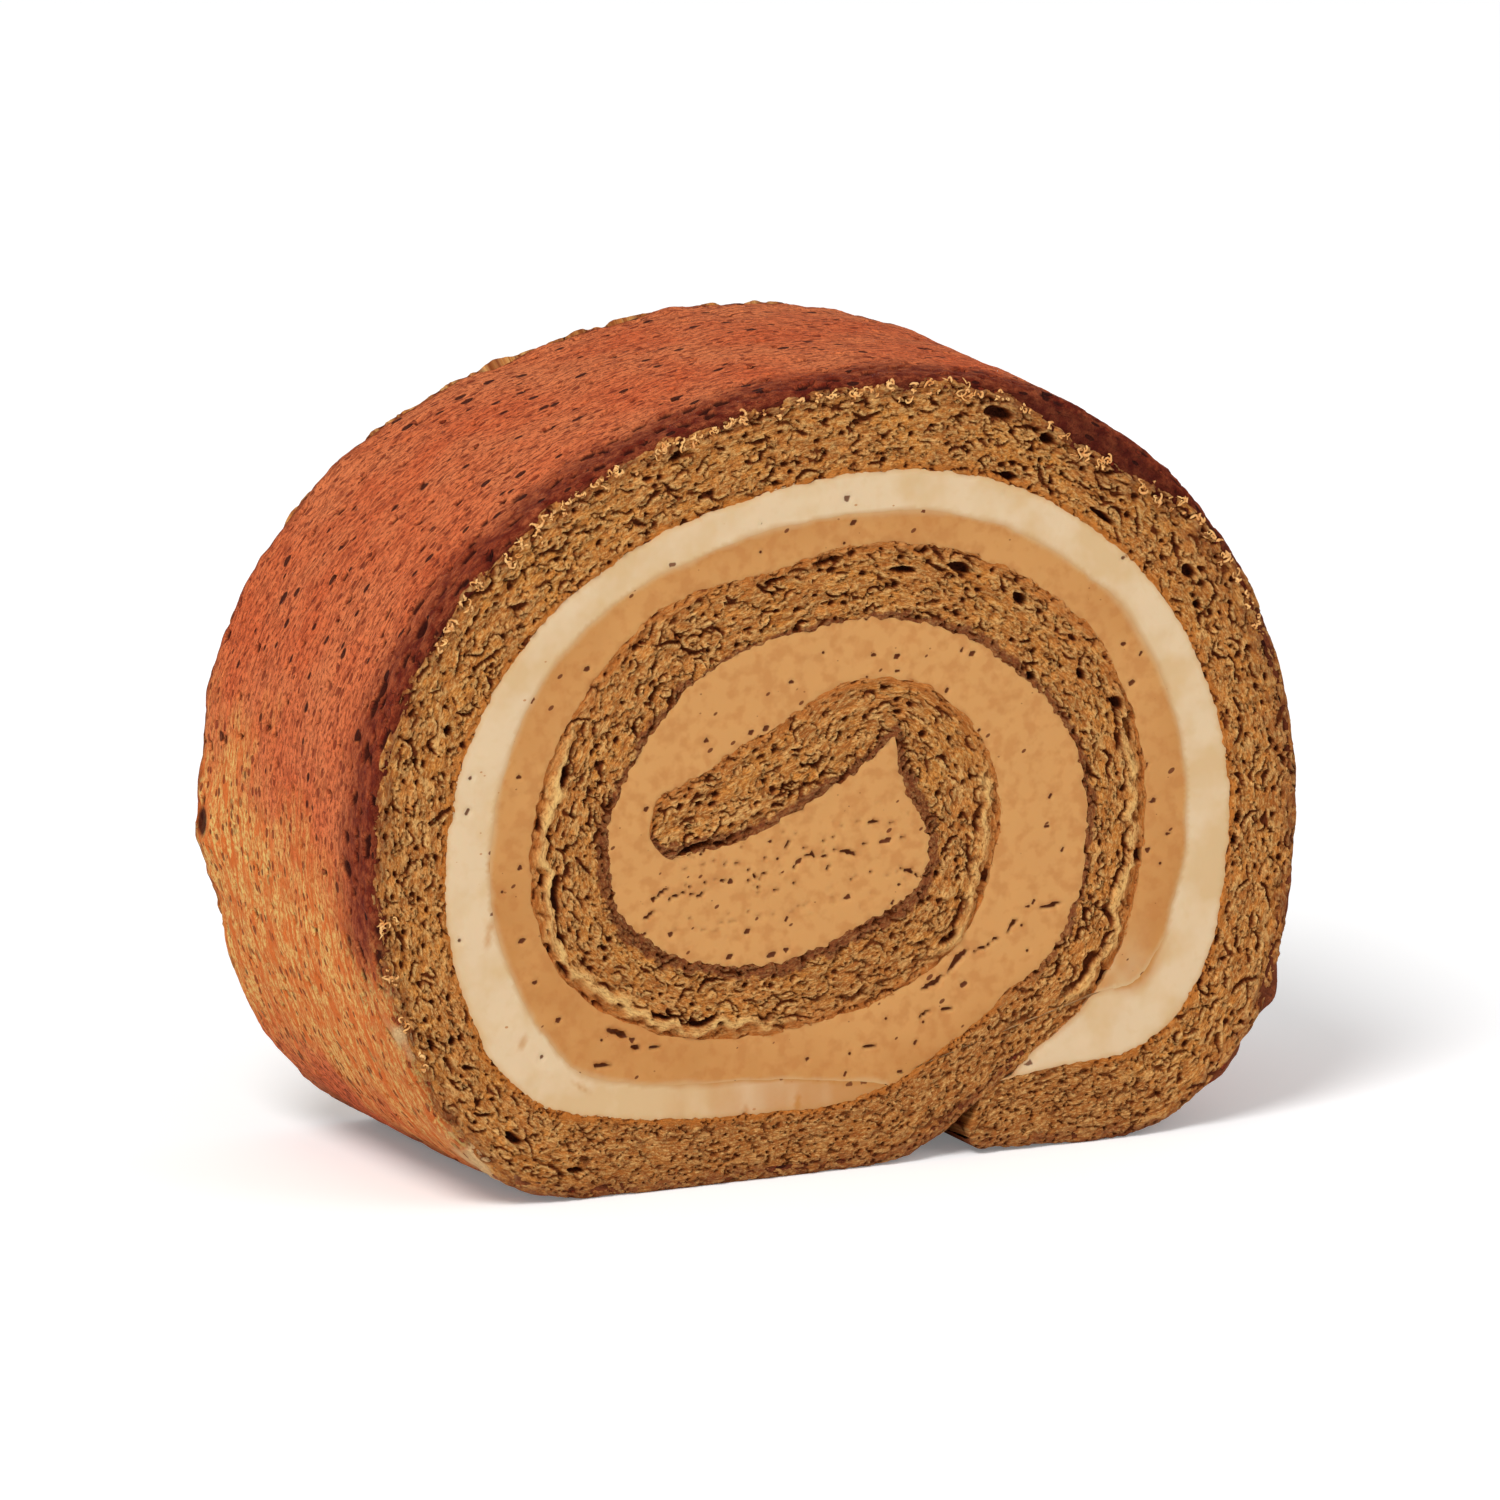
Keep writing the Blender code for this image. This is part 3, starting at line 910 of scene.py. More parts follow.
def inside(points, outline):
    """Which points lie inside a closed outline."""
    ends = np.roll(outline, -1, 0)
    edge = ends - outline
    rise = np.where(np.abs(edge[:, 1]) < 1e-9, 1e-9, edge[:, 1])
    result = np.empty(len(points), bool)
    for first in range(0, len(points), 4000):
        part = points[first:first + 4000, None]
        above = (outline[:, 1] > part[..., 1]) != (ends[:, 1] > part[..., 1])
        cross_x = outline[:, 0] + (part[..., 1] - outline[:, 1]) / rise * edge[:, 0]
        result[first:first + 4000] = (above & (part[..., 0] < cross_x)).sum(1) % 2 == 1
    return result


def nearest_on_sheet(points, first_station, last_station):
    """Distance along the sheet of the nearest stretch of it, and distance from it."""
    s = np.arange(sheet.distance_at(first_station), sheet.distance_at(last_station), 0.5)
    middle = sheet.place(s, s * 0)
    along = np.empty(len(points))
    away = np.empty(len(points))
    for first in range(0, len(points), 4000):
        part = points[first:first + 4000, None]
        distance = np.linalg.norm(part - middle, axis=-1)
        index = distance.argmin(1)
        along[first:first + 4000] = s[index]
        away[first:first + 4000] = distance[np.arange(len(index)), index]
    return along, away


# Cracks in the coffee cream: x, z, length, width and slope in degrees
COFFEE_CRACKS = [
    (11.6, 17.7, 2.9, 0.8, 48),
    (9.2, 16.0, 2.6, 0.55, 24),
    (16.8, 20.3, 1.8, 0.4, 42),
    (14.5, 18.9, 3.6, 0.25, 22),
    (20.7, 21.8, 2.2, 0.4, 12),
    (-21.3, 14.6, 2.6, 0.8, -24),
    (-19.6, 13.2, 1.0, 0.35, -20),
    (-17.8, 13.0, 1.2, 0.35, 0),
    (-22.9, 11.9, 1.9, 0.45, -8),
    (-3.8, 14.1, 1.1, 0.3, 5),
    (3.0, 10.9, 1.4, 0.4, 0),
    (8.4, 13.2, 1.2, 0.4, 25),
    (10.5, 13.5, 1.3, 0.4, 5),
    (-17.2, 26.7, 1.8, 0.3, 25),
    (-15.6, 26.2, 2.4, 0.22, 18),
    (-13.0, 26.3, 2.2, 0.22, 12),
    (-18.4, 24.9, 1.4, 0.35, 30),
    (-11.5, 27.4, 1.2, 0.22, 0),
    (-8.0, 27.2, 1.2, 0.25, -45),
    (1.0, 28.5, 1.9, 0.4, -12),
    (7.0, 26.2, 2.4, 0.35, -30),
    (-4.9, 29.9, 0.9, 0.35, 60),
    (-2.4, 28.7, 1.0, 0.5, -50),
    (3.4, 31.0, 1.2, 0.3, -5),
]


def cracks(points):
    """Splits in the coffee cream of the front face, from 0 to 1."""
    wobble = 0.16 * noise(points[:, 0] / 0.8, points[:, 1] / 0.8, 77)
    result = np.zeros(len(points))
    for x, z, length, width, slope in COFFEE_CRACKS:
        angle = math.radians(slope)
        dx, dz = points[:, 0] - x, points[:, 1] - z
        along = dx * math.cos(angle) + dz * math.sin(angle)
        across = dz * math.cos(angle) - dx * math.sin(angle) + wobble
        taper = np.sqrt(np.clip(1 - (2 * along / length) ** 2, 0, 1))
        reach = np.abs(across) / (width / 2) / (taper + 0.05)
        result = np.maximum(result, taper * (1 - smooth_step(0.5, 1, reach)))
    return result


def dry_core(points):
    """Short dry splits and dots across the middle of the coffee core, from 0 to 1."""
    x, z = points[:, 0], points[:, 1]
    zone = bump_at(z, 28.0 + 0.12 * x, 3.6) * smooth_step(-18.5, -14, x) * (1 - smooth_step(5, 9, x))
    bent_z = z + 0.5 * noise(x / 2.5, z / 2.5, 811)
    _, _, number, dx, dz = cells((x + 0.3 * z) / 1.3, (bent_z - 0.15 * x) / 0.9, 810)
    length = 0.10 + 0.33 * np.modf(number * 9.7)[0] ** 2
    turn = (np.modf(number * 5.3)[0] - 0.5) * 1.6
    u, v = dx * np.cos(turn) + dz * np.sin(turn), dz * np.cos(turn) - dx * np.sin(turn)
    shape = np.hypot(u / length, v / 0.12)
    return zone * (number > 0.42) * (1 - smooth_step(0.6, 1.1, shape))


def cream_relief(points, seed, share):
    """Height in mm of a cut cream: drag marks and a few burst bubbles."""
    x, z = points[:, 0], points[:, 1]
    drag = 0.03 * fractal(x / 9 + z / 3, z / 1.1 - x / 12, seed) + 0.08 * fractal(x / 4, z / 4, seed + 5)
    warp = 0.2 * noise(x, z, seed + 9)
    turned_x, turned_z = x * 0.87 + z * 0.5 + warp, z * 0.87 - x * 0.5
    bubble = bubbles(turned_x / 2.3, turned_z / 1.5, seed + 20, share, 0.2)
    return drag - 0.3 * bubble, bubble


def cream_piece(name, node, outline, spacing, material, seed, share, front_splits, masks_for):
    """A cream carried through the slice: two cut faces joined by a wall round it. share
    is how many of the cells have a burst bubble."""
    flat, triangles = face_points(outline, spacing)
    border = len(outline)
    closed = np.vstack([outline, outline[:1]])
    from_meeting = distance_to_line(flat, white_lines(0.4)[1])
    rounding = 1 - smooth_step(0, 0.35, distance_to_line(flat, closed))
    rounding = rounding * smooth_step(0.2, 0.6, from_meeting)
    halves, pits = [], []
    for side in (-1, 1):
        height, pit = cream_relief(flat, seed + 50 * side, share)
        if side < 0 and front_splits:
            split = np.maximum(cracks(flat), 0.8 * dry_core(flat))
            height = height - 0.7 * split
            pit = np.maximum(pit, split)
        height = height * smooth_step(0.1, 0.9, from_meeting) - 0.06 * rounding
        level = side * (HALF_SLICE + height - CREAM_SINK)
        halves.append(np.stack([flat[:, 0], level, flat[:, 1]], -1))
        pits.append(pit)
    count = len(flat)
    back = [tuple(index + count for index in reversed(face)) for face in triangles]
    ring = np.arange(border) + 2 * count
    following = np.roll(ring, -1)
    walls = np.stack([ring, ring + border, following + border, following], -1).tolist()
    attributes = {title: np.tile(values, 2) for title, values in masks_for(flat).items()}
    # pit: also where painted shade darkens the pits and splits
    attributes["pit"] = np.concatenate(pits)
    for title, values in attributes.items():
        attributes[title] = np.concatenate([values, values[:border], values[count:count + border]])
    points = np.vstack([*halves, halves[0][:border], halves[1][:border]])
    uv = cream_uv(points, count, triangles, back, walls, border)
    return make_piece(name, points, triangles + back + walls, material, node, attributes, uv)


def white_masks(points):
    """Where the white cream meets the sponge, blends into coffee cream and is smeared."""
    on_sponge, on_coffee = white_lines(0.4)
    along, _ = nearest_on_sheet(points, WHITE_START, WHITE_END)
    station = sheet.station_at(along)
    x, z = points[:, 0], points[:, 1]
    soft = 0.25 + 0.35 * np.clip(0.5 + fractal(x / 3, z / 3, 430), 0, 1)
    blend = 1 - smooth_step(0, 1, distance_to_line(points, on_coffee) / soft)
    fading = smooth_step(25.9, 28.2, station + 0.35 * noise(x / 1.1, z / 6, 431))
    near_coffee = 1 - smooth_step(0.2, 1.6, distance_to_line(points, on_coffee))
    tail = bump_at(station, 5.2, 0.9) * near_coffee
    smear = smear_amount(points)
    toasted = 1 - smooth_step(0.05, 0.4, distance_to_line(points, on_sponge))
    mixed = np.clip(0.55 * blend + 0.9 * fading + 0.8 * tail + smear, 0, 1)
    return {"blend": mixed, "toasted": toasted}


# Smears of coffee cream in the white: x, z, length, width and slope in degrees
COFFEE_SMEARS = [
    (-33.9, 24.6, 3.4, 1.0, 78),
    (-30.6, 14.8, 2.2, 0.9, 60),
    (-33.6, 31.0, 1.6, 0.8, 80),
    (-25.0, 10.2, 3.0, 0.6, -35),
    (-9.0, 6.1, 0.7, 2.6, 0),
    (-4.0, 6.2, 0.8, 2.4, 0),
]


def smear_amount(points):
    """How far coffee cream is smeared over each point of the white cream."""
    result = np.zeros(len(points))
    wobble = 0.2 * noise(points[:, 0] / 0.8, points[:, 1] / 0.8, 79)
    for x, z, length, width, slope in COFFEE_SMEARS:
        angle = math.radians(slope)
        dx, dz = points[:, 0] - x, points[:, 1] - z
        along = (dx * math.cos(angle) + dz * math.sin(angle)) / length * 2
        across = (dz * math.cos(angle) - dx * math.sin(angle)) / width * 2
        result = np.maximum(result, 1 - smooth_step(0.2, 1.1, np.hypot(along, across) + wobble))
    return 0.6 * result


def coffee_masks(points):
    """Where the coffee cream blends into the white cream, and its paler inner turns."""
    _, on_coffee = white_lines(0.4)
    x, z = points[:, 0], points[:, 1]
    soft = 0.25 + 0.45 * np.clip(0.5 + fractal(x / 3, z / 3, 440), 0, 1)
    blend = 1 - smooth_step(0, 1, distance_to_line(points, on_coffee) / soft)
    core = 1 - smooth_step(0.85, 1.25, np.hypot((x - 0.5) / 29.5, (z - 34) / 22))
    tail = bump_at(np.hypot(x - 27.5, (z - 13.5) / 1.6), 0, 2.6)
    tail = tail * (0.7 + 0.5 * noise(x / 1.2, z / 1.6, 441))
    return {"blend": np.clip(0.45 * blend + 0.8 * tail, 0, 1), "core": core}


def cream_uv(points, count, front, back, walls, border):
    """Both cut faces side by side in flat maps, and the wall in a band below them."""
    half = face_uv(points)
    half[:, 0] *= 0.5
    half[count:, 0] += 0.5
    faces_uv = half[np.array(front + back).ravel()]
    corner = np.array(walls) - 2 * count
    along = (corner % border) / border
    along[-1, 2:] = 1
    wall_v = np.where(corner < border, 0.02, WALL_SHARE * 2)
    walls_uv = np.stack([along * 0.98 + 0.01, wall_v], -1).reshape(-1, 2)
    return np.vstack([faces_uv, walls_uv])


# ---------------------------------------------------------------- materials


def color(red, green, blue):
    """Linear colour from 0 to 255 display values."""
    channels = [value / 255 for value in (red, green, blue)]
    return tuple(c / 12.92 if c <= 0.04045 else ((c + 0.055) / 1.055) ** 2.4 for c in channels) + (1,)


class Shading:
    """Builds one Principled material out of nodes, with short calls."""

    def __init__(self, name, roughness, gloss):
        self.material = bpy.data.materials.new(name)
        self.material.use_nodes = True
        self.tree = self.material.node_tree
        self.surface = self.tree.nodes["Principled BSDF"]
        self.surface.inputs["Roughness"].default_value = roughness
        self.surface.inputs["Specular IOR Level"].default_value = gloss

    def node(self, kind, inputs=None, **settings):
        """A new node with its settings and its inputs, by name or by number."""
        made = self.tree.nodes.new(kind)
        for key, value in settings.items():
            setattr(made, key, value)
        for key, value in (inputs or {}).items():
            self.feed(made.inputs[key], value)
        return made

    def feed(self, socket, value):
        """Link a node's output to the socket, or set the socket to a plain value."""
        if isinstance(value, bpy.types.NodeSocket):
            self.tree.links.new(value, socket)
        else:
            socket.default_value = value

    def mask(self, name):
        """One of the piece's own attributes, from 0 to 1."""
        return self.node("ShaderNodeAttribute", attribute_name=name).outputs["Fac"]

    def stretch(self, vector, scale):
        made = self.node("ShaderNodeVectorMath", {0: vector, 1: scale}, operation="MULTIPLY")
        return made.outputs["Vector"]

    def strip(self, x, y, z=1.0):
        """Coordinates along and across the sheet in mm, scaled."""
        strip = self.node("ShaderNodeAttribute", attribute_name="strip").outputs["Vector"]
        return self.stretch(strip, (x, y, z))

    def millimetres(self):
        """The frame's own coordinates, in mm."""
        place = self.node("ShaderNodeTexCoord").outputs["Object"]
        return self.stretch(place, (1000, 1000, 1000))

    def noise(self, vector, scale, detail=2.0, roughness=0.5, distortion=0.0):
        inputs = {"Vector": vector, "Scale": scale, "Detail": detail}
        inputs |= {"Roughness": roughness, "Distortion": distortion}
        return self.node("ShaderNodeTexNoise", inputs).outputs["Fac"]

    def between(self, value, low, high, to_low=0.0, to_high=1.0):
        """The value with low to high turned into to_low to to_high, and held there."""
        inputs = {"Value": value, "From Min": low, "From Max": high, "To Min": to_low, "To Max": to_high}
        return self.node("ShaderNodeMapRange", inputs).outputs["Result"]

    def math(self, operation, a, b=0.0):
        return self.node("ShaderNodeMath", {0: a, 1: b}, operation=operation).outputs["Value"]

    def times(self, a, b):
        return self.math("MULTIPLY", a, b)

    def mix(self, share, a, b):
        """Colour a turning into colour b as the share goes from 0 to 1."""
        made = self.node("ShaderNodeMix", data_type="RGBA")
        for number, value in ((0, share), (6, a), (7, b)):
            self.feed(made.inputs[number], value)
        return made.outputs[2]

    def cover(self, under, mask, weight, over):
        """The colour under with the colour over on top, where a mask of the piece says."""
        return self.mix(self.times(self.mask(mask), weight), under, over)

    def dots(self, vector, scale, share, smallest, largest):
        """Scattered dots, from 0 to 1: share of the cells that have one, and their size
        as a part of the cell."""
        found = self.node("ShaderNodeTexVoronoi", {"Vector": vector, "Scale": scale}).outputs
        number = self.node("ShaderNodeSeparateColor", {"Color": found["Color"]}).outputs["Red"]
        radius = self.between(number, 1 - share, 1.0, smallest, largest)
        shown = self.math("GREATER_THAN", number, 1 - share)
        edge = self.between(self.math("SUBTRACT", radius, found["Distance"]), 0.0, smallest * 0.5)
        return self.times(edge, shown)

    def bump(self, height, distance, strength=1.0):
        inputs = {"Height": height, "Distance": distance, "Strength": strength}
        return self.node("ShaderNodeBump", inputs).outputs["Normal"]

    def finish(self, base_color, normal, roughness=None):
        self.feed(self.surface.inputs["Base Color"], base_color)
        self.feed(self.surface.inputs["Normal"], normal)
        if roughness is not None:
            self.feed(self.surface.inputs["Roughness"], roughness)
        return self.material


CRUMB = color(220, 141, 66)
CRUMB_GOLD = color(226, 147, 64)
CRUMB_LIGHT = color(248, 198, 124)
RIDGE = color(255, 206, 128)
CRUMB_SHADE = color(158, 86, 32)
CRUMB_DULL = color(178, 110, 50)
GAP_SHADE = color(124, 58, 18)
DEEP_SHADE = color(60, 22, 6)
INNER_SKIN = color(124, 60, 32)
TOASTED = color(206, 120, 44)
SIDE_BROWN = color(196, 112, 46)
COCOA = color(238, 114, 64)
COCOA_LIGHT = color(246, 138, 84)
COCOA_DARK = color(142, 54, 30)
RIM_BROWN = color(112, 34, 16)
BASE_BROWN = color(138, 76, 40)
PIT_SHADE_AND_LIP_BROWN = color(54, 14, 8)
RUBBED = color(242, 126, 54)
RUBBED_GOLD = color(255, 210, 124)
BARE = color(228, 186, 132)
IVORY = color(218, 190, 152)
IVORY_SHADE = color(210, 176, 130)
COFFEE = color(188, 128, 66)
COFFEE_LIGHT = color(206, 150, 88)
COFFEE_SHADE = color(180, 114, 56)
SPECK_AND_PIT_SHADE = color(100, 42, 6)


def crumb_material():
    """Torn, open crumb: pale strands, pale lips that carry a painted highlight, gaps painted brown as shade,
    and darker skin lines and rim.
    """
    look = Shading("crumb", 0.8, 0.15)
    place = look.strip(1.0, 1.9)
    broad = look.noise(place, 0.16, 2.0)
    patch = look.noise(place, 0.8, 3.0, 0.6, 0.5)
    fine = look.noise(place, 2.6, 3.0, 0.6, 0.6)
    threads = look.noise(look.strip(1.0, 4.5), 1.3, 3.0, 0.6, 1.2)
    tone = look.mix(look.between(broad, 0.4, 0.62), CRUMB, CRUMB_GOLD)
    tone = look.cover(tone, "dull", 0.75, CRUMB_DULL)
    tone = look.mix(look.between(patch, 0.58, 0.36, 0.0, 0.7), tone, CRUMB_SHADE)
    tone = look.mix(look.between(threads, 0.48, 0.36, 0.0, 0.55), tone, CRUMB_SHADE)
    tone = look.mix(look.between(threads, 0.54, 0.68, 0.0, 0.6), tone, CRUMB_LIGHT)
    # Painted highlight: the lips along the gaps and holes are lit up with the pale crumb colour
    tone = look.cover(tone, "lip", look.between(fine, 0.3, 0.6, 0.55, 0.95), CRUMB_LIGHT)
    tone = look.mix(look.between(fine, 0.48, 0.34, 0.0, 0.75), tone, CRUMB_SHADE)
    tone = look.mix(look.between(fine, 0.54, 0.68, 0.0, 0.6), tone, CRUMB_LIGHT)
    tone = look.cover(tone, "outer_side", 0.6, SIDE_BROWN)
    tone = look.cover(tone, "outside", look.between(patch, 0.35, 0.6, 0.65, 0.1), SIDE_BROWN)
    tone = look.cover(tone, "cream_side", 0.75, TOASTED)
    tone = look.cover(tone, "rim_shade", look.between(patch, 0.4, 0.65, 0.7, 0.2), INNER_SKIN)
    tone = look.cover(tone, "inner_skin", look.between(fine, 0.3, 0.65, 0.95, 0.65), INNER_SKIN)
    tone = look.cover(tone, "ridge", look.between(fine, 0.35, 0.6, 0.4, 0.9), RIDGE)
    # Painted shade: gaps, pores and holes are darkened as the shade inside them, darkest in the deepest
    tone = look.mix(look.between(look.mask("gap"), 0.05, 0.6), tone, GAP_SHADE)
    tone = look.mix(look.between(look.mask("gap"), 0.6, 1.0, 0.0, 0.9), tone, DEEP_SHADE)
    relief = look.math("ADD", look.times(fine, 0.6), threads)
    return look.finish(tone, look.bump(relief, 0.45 * MM, 0.9))


def skin_material():
    """Cocoa-dusted baked skin: pitted, with painted shade in the pits and dashes, darker by the cut, rubbed
    golden at the lower left.
    """
    look = Shading("baked_skin", 0.9, 0.12)
    place = look.strip(1.0, 1.0)
    ripples = look.noise(look.strip(0.45, 1.3), 1.5, 3.0, 0.6, 0.8)
    broad = look.noise(place, 0.10, 3.0, 0.55)
    mottle = look.noise(place, 0.9, 3.0, 0.6)
    grain = look.noise(look.strip(1.0, 1.5), 2.0, 3.0, 0.7)
    streak = look.noise(look.strip(0.28, 1.0), 1.0, 4.0, 0.7, 1.0)
    dashes = look.dots(look.strip(0.40, 0.60), 1.0, 0.85, 0.09, 0.25)
    dashes = look.times(dashes, look.between(look.mask("under"), 0.0, 1.0, 1.0, 0.35))
    tiny = look.dots(look.strip(0.75, 1.25), 1.0, 0.85, 0.12, 0.34)
    tone = look.mix(look.between(broad, 0.38, 0.62), COCOA, COCOA_LIGHT)
    tone = look.mix(look.between(ripples, 0.52, 0.38, 0.0, 0.55), tone, COCOA_DARK)
    tone = look.mix(look.between(ripples, 0.52, 0.66, 0.0, 0.6), tone, COCOA_LIGHT)
    tone = look.mix(look.between(grain, 0.50, 0.38, 0.0, 0.8), tone, COCOA_DARK)
    tone = look.cover(tone, "under", 0.85, RUBBED)
    rubbed = look.times(look.mask("under"), look.between(streak, 0.43, 0.57))
    tone = look.mix(look.times(rubbed, look.between(grain, 0.42, 0.56, 0.1, 1.0)), tone, RUBBED_GOLD)
    tone = look.cover(tone, "rim", look.between(mottle, 0.38, 0.62, 1.0, 0.6), RIM_BROWN)
    tone = look.cover(tone, "base", 0.8, BASE_BROWN)
    # The lip's own dark brown, where the skin reaches over the crumb's edge
    tone = look.cover(tone, "lip", 0.65, PIT_SHADE_AND_LIP_BROWN)
    tone = look.mix(look.mask("bare"), tone, BARE)
    # Painted shade in the tiny pits
    tone = look.mix(look.times(tiny, 0.8), tone, COCOA_DARK)
    # Painted shade: the pits and dashes are darkened as the shade inside them
    holes = look.math("MAXIMUM", look.between(look.mask("pit"), 0.2, 0.6), dashes)
    tone = look.mix(look.times(holes, 0.92), tone, PIT_SHADE_AND_LIP_BROWN)
    relief = look.math("ADD", look.times(grain, 0.7), look.times(ripples, 0.8))
    relief = look.math("SUBTRACT", relief, look.math("MAXIMUM", dashes, look.times(tiny, 0.6)))
    return look.finish(tone, look.bump(relief, 0.85 * MM, 1.0))


def curl_material():
    """The pale crumbs on the rim, in the crumb's own colours."""
    look = Shading("curls", 0.75, 0.2)
    place = look.millimetres()
    patch = look.noise(place, 1.1, 3.0, 0.6)
    tone = look.mix(look.between(patch, 0.35, 0.65), CRUMB_LIGHT, CRUMB)
    tone = look.cover(tone, "pale", 0.35, BARE)
    return look.finish(tone, look.bump(patch, 0.1 * MM, 0.6))


def cream_look(name):
    """Shared start of both creams: soft satin surface with a little light inside."""
    look = Shading(name, 0.55, 0.2)
    look.surface.inputs["Subsurface Weight"].default_value = 0.12
    look.surface.inputs["Subsurface Scale"].default_value = 0.0015
    return look


def finish_cream(look, tone, place, clouds):
    """Shared end of both creams: faint relief, and a gloss that varies with the clouds."""
    fine = look.noise(place, 1.6, 2.0, 0.5)
    relief = look.math("ADD", look.times(fine, 0.4), look.times(clouds, 0.8))
    gloss = look.between(clouds, 0.35, 0.65, 0.46, 0.64)
    return look.finish(tone, look.bump(relief, 0.10 * MM, 0.5), gloss)


def white_cream_material():
    """Ivory cream with toasted edges, smears of coffee cream and a few pits, with painted shade in the pits.
    """
    look = cream_look("white_cream")
    place = look.millimetres()
    clouds = look.noise(place, 0.18, 3.0, 0.55)
    small = look.noise(place, 0.9, 2.0, 0.5)
    specks = look.dots(look.stretch(place, (0.5, 0.0, 0.8)), 1.0, 0.55, 0.04, 0.11)
    pits = look.between(look.mask("pit"), 0.40, 0.62)
    tone = look.mix(look.between(clouds, 0.42, 0.62), IVORY, IVORY_SHADE)
    tone = look.mix(look.between(small, 0.55, 0.75, 0.0, 0.35), tone, IVORY_SHADE)
    tone = look.cover(tone, "toasted", 0.45, COFFEE_LIGHT)
    tone = look.mix(look.mask("blend"), tone, COFFEE)
    tone = look.mix(look.times(specks, 0.75), tone, COFFEE_SHADE)
    # Painted shade in the burst bubbles
    tone = look.mix(look.times(pits, 0.85), tone, SPECK_AND_PIT_SHADE)
    return finish_cream(look, tone, place, clouds)


def coffee_cream_material():
    """Light coffee cream, paler in the inner turns, with specks, and with painted shade in its splits and
    pits.
    """
    look = cream_look("coffee_cream")
    place = look.millimetres()
    clouds = look.noise(place, 0.14, 3.0, 0.55)
    small = look.noise(place, 0.8, 2.0, 0.5)
    turn = {"Vector": place, "Angle": 0.6}
    turned = look.node("ShaderNodeVectorRotate", turn, rotation_type="Y_AXIS").outputs[0]
    specks = look.dots(look.stretch(turned, (0.42, 0.0, 0.75)), 1.0, 0.55, 0.05, 0.17)
    dust = look.dots(look.stretch(place, (0.9, 0.0, 1.2)), 1.0, 0.3, 0.05, 0.12)
    tone = look.mix(look.between(clouds, 0.40, 0.62, 0.0, 0.5), COFFEE, COFFEE_LIGHT)
    tone = look.cover(tone, "core", 0.8, COFFEE_LIGHT)
    tone = look.mix(look.between(small, 0.54, 0.36, 0.0, 0.45), tone, COFFEE_SHADE)
    tone = look.mix(look.mask("blend"), tone, IVORY_SHADE)
    pits = look.between(look.mask("pit"), 0.36, 0.58)
    specks = look.math("MAXIMUM", specks, look.times(dust, 0.6))
    tone = look.mix(look.times(specks, 0.9), tone, SPECK_AND_PIT_SHADE)
    # Painted shade in the splits, dry dots and burst bubbles
    tone = look.mix(look.times(pits, 0.95), tone, SPECK_AND_PIT_SHADE)
    return finish_cream(look, tone, place, clouds)


# ---------------------------------------------------------------- stage


CAMERA_AZIMUTH, CAMERA_ELEVATION = -25.75, 13.1     # degrees
CAMERA_DISTANCE = 3.0
VIEW_WIDTH = 0.1316                                 # seen at the cake's middle, in m
LOOK_AT = Vector((0, 0, 0.0341))
FLOOR_LIFT = 0.16                                   # light added to the floor for the camera
WORLD_STRENGTH = 0.5


def direction(azimuth, elevation):
    """Unit vector from the cake towards a camera or lamp."""
    a, e = math.radians(azimuth), math.radians(elevation)
    return Vector((math.sin(a) * math.cos(e), -math.cos(a) * math.cos(e), math.sin(e)))


def add_camera():
    """The photo's viewing angle, from far enough away for its flat perspective."""
    lens = bpy.data.cameras.new("camera")
    lens.sensor_width = 36
    lens.lens = lens.sensor_width * CAMERA_DISTANCE / VIEW_WIDTH
    lens.clip_end = 20
    camera = bpy.data.objects.new("camera", lens)
    back = direction(CAMERA_AZIMUTH, CAMERA_ELEVATION)
    camera.location = LOOK_AT + back * CAMERA_DISTANCE
    camera.rotation_euler = back.to_track_quat("Z", "Y").to_euler()
    bpy.context.scene.collection.objects.link(camera)
    bpy.context.scene.camera = camera


def add_lamp(name, azimuth, elevation, distance, size, power):
    """A round white lamp that faces the cake. Angles in degrees, the rest in m and W."""
    data = bpy.data.lights.new(name, "AREA")
    data.shape = "DISK"
    data.size = size
    data.energy = power
    lamp = bpy.data.objects.new(name, data)
    back = direction(azimuth, elevation)
    lamp.location = LOOK_AT + back * distance
    lamp.rotation_euler = back.to_track_quat("Z", "Y").to_euler()
    bpy.context.scene.collection.objects.link(lamp)


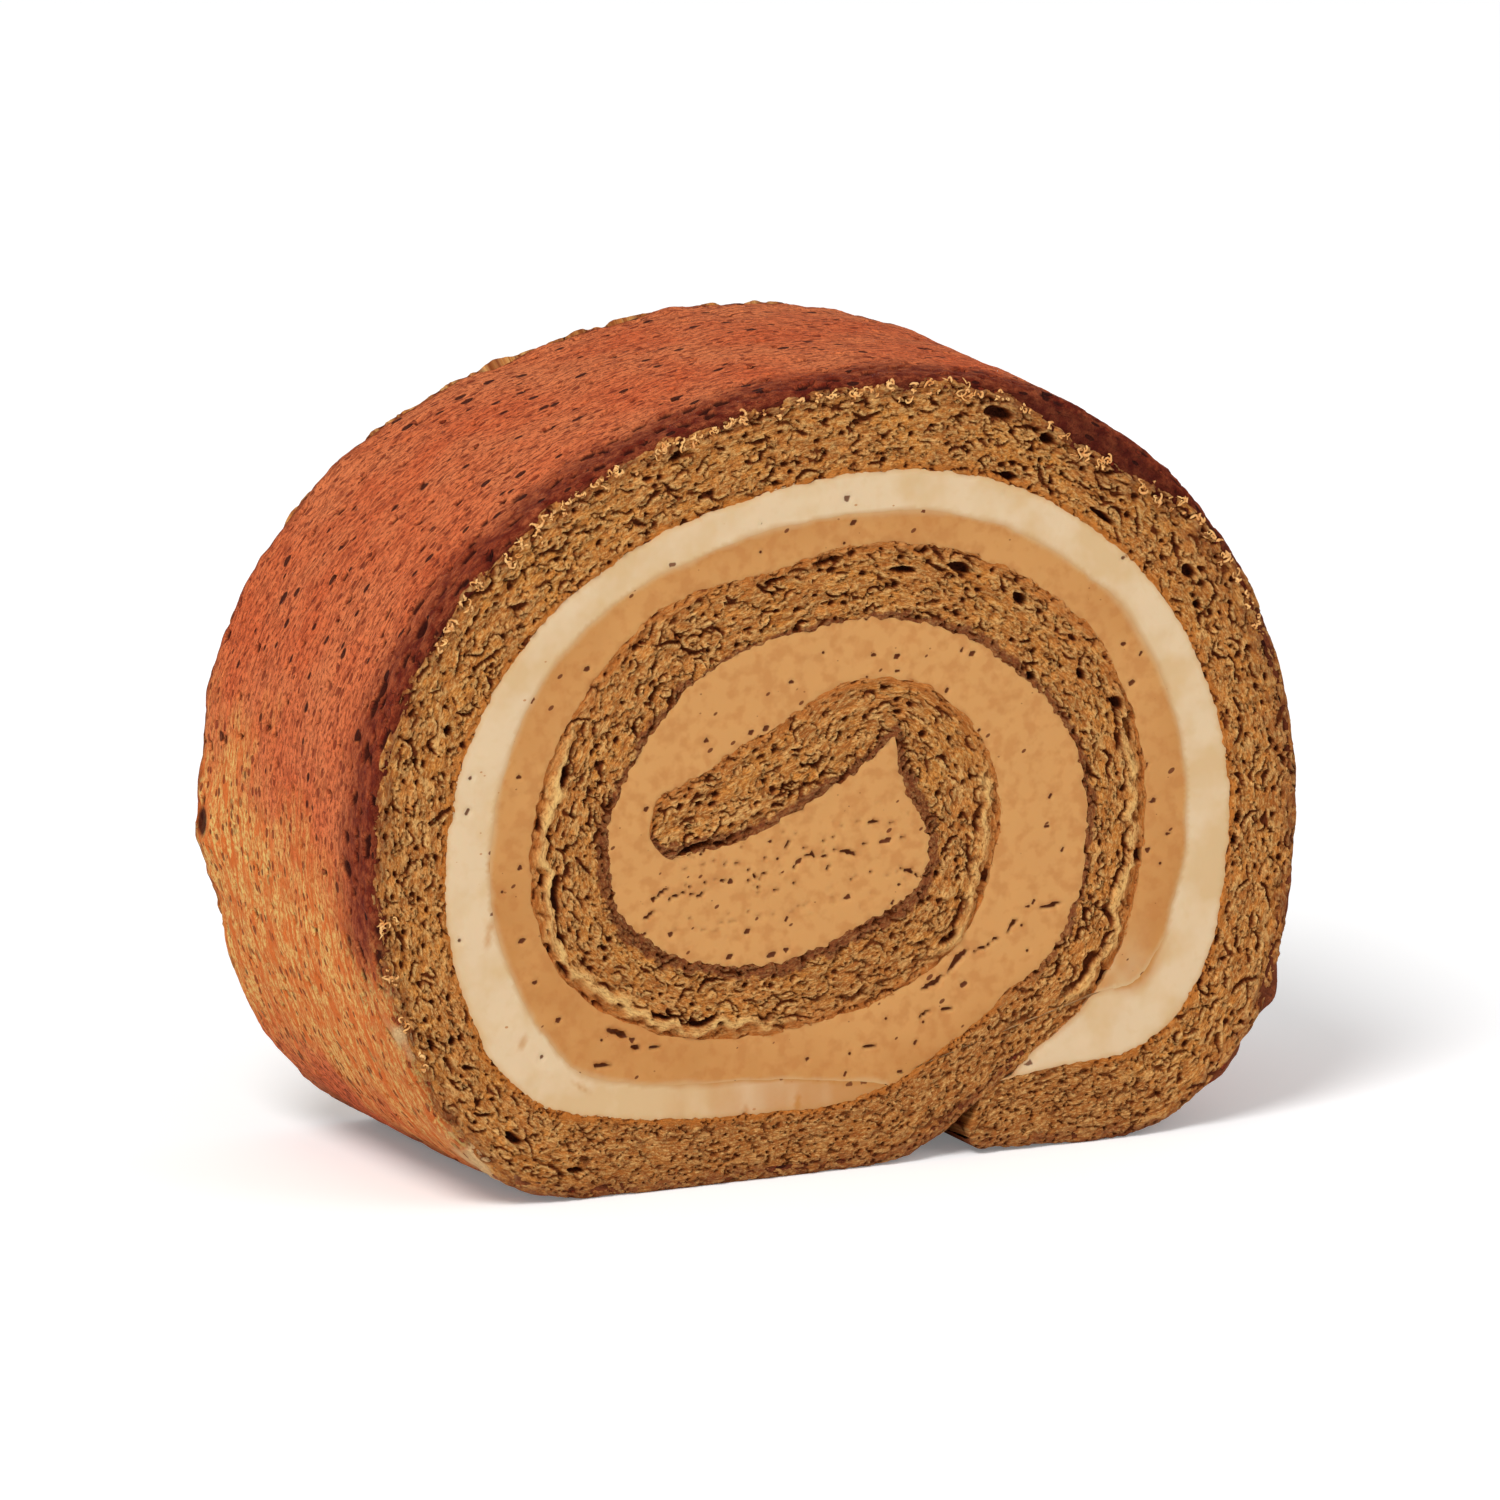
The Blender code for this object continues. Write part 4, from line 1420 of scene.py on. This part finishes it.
def stage_material():
    """White floor that takes the cake's shadow, and is lifted a little for the camera."""
    material = bpy.data.materials.new("stage")
    material.use_nodes = True
    nodes = material.node_tree.nodes
    surface = nodes["Principled BSDF"]
    surface.inputs["Base Color"].default_value = (1, 1, 1, 1)
    surface.inputs["Roughness"].default_value = 1.0
    surface.inputs["Emission Color"].default_value = (1, 1, 1, 1)
    seen = nodes.new("ShaderNodeLightPath").outputs["Is Camera Ray"]
    lift = nodes.new("ShaderNodeMath")
    lift.operation = "MULTIPLY"
    lift.inputs[1].default_value = FLOOR_LIFT
    material.node_tree.links.new(seen, lift.inputs[0])
    material.node_tree.links.new(lift.outputs[0], surface.inputs["Emission Strength"])
    return material


def add_stage():
    """Floor, world and lamps."""
    bpy.ops.mesh.primitive_plane_add(size=12)
    floor = bpy.context.object
    floor.name = "floor"
    floor.data.materials.append(stage_material())
    world = bpy.data.worlds.new("studio")
    world.use_nodes = True
    background = world.node_tree.nodes["Background"]
    background.inputs["Strength"].default_value = WORLD_STRENGTH
    background.inputs["Color"].default_value = (1, 1, 1, 1)
    bpy.context.scene.world = world
    add_lamp("key", -50, 48, 2.5, 1.0, 38.0)
    add_lamp("fill", 40, 30, 2.5, 1.6, 8.0)


# ---------------------------------------------------------------- the scene


def build():
    add_camera()
    crumb = crumb_material()
    start, end = -NOSE * 0.995, sheet.length + TIP * 0.995
    seam = sheet.distance_at(30.0)     # the front crumb is two pieces, to keep each one small
    crumb_piece("crumb_front_outer", -1, start, seam, 0.155, 52, crumb)
    crumb_piece("crumb_front_inner", -1, seam, end, 0.15, 52, crumb)
    crumb_piece("crumb_back", 1, start, end, 0.24, 34, crumb)
    skin_piece("baked_skin", skin_material())
    curls_piece("rim_curls", curl_material())
    ivory, coffee = white_cream_material(), coffee_cream_material()
    cream_piece(
        "white_cream_spread", "white_cream", white_outline(0.4), spacing=0.36, material=ivory,
        seed=400, share=0.07, front_splits=False, masks_for=white_masks,
    )
    cream_piece(
        "coffee_cream_spread", "coffee_cream", coffee_outline(0.3), spacing=0.27, material=coffee,
        seed=600, share=0.16, front_splits=True, masks_for=coffee_masks,
    )
    add_stage()
    bpy.context.scene.view_settings.view_transform = "Standard"


build()
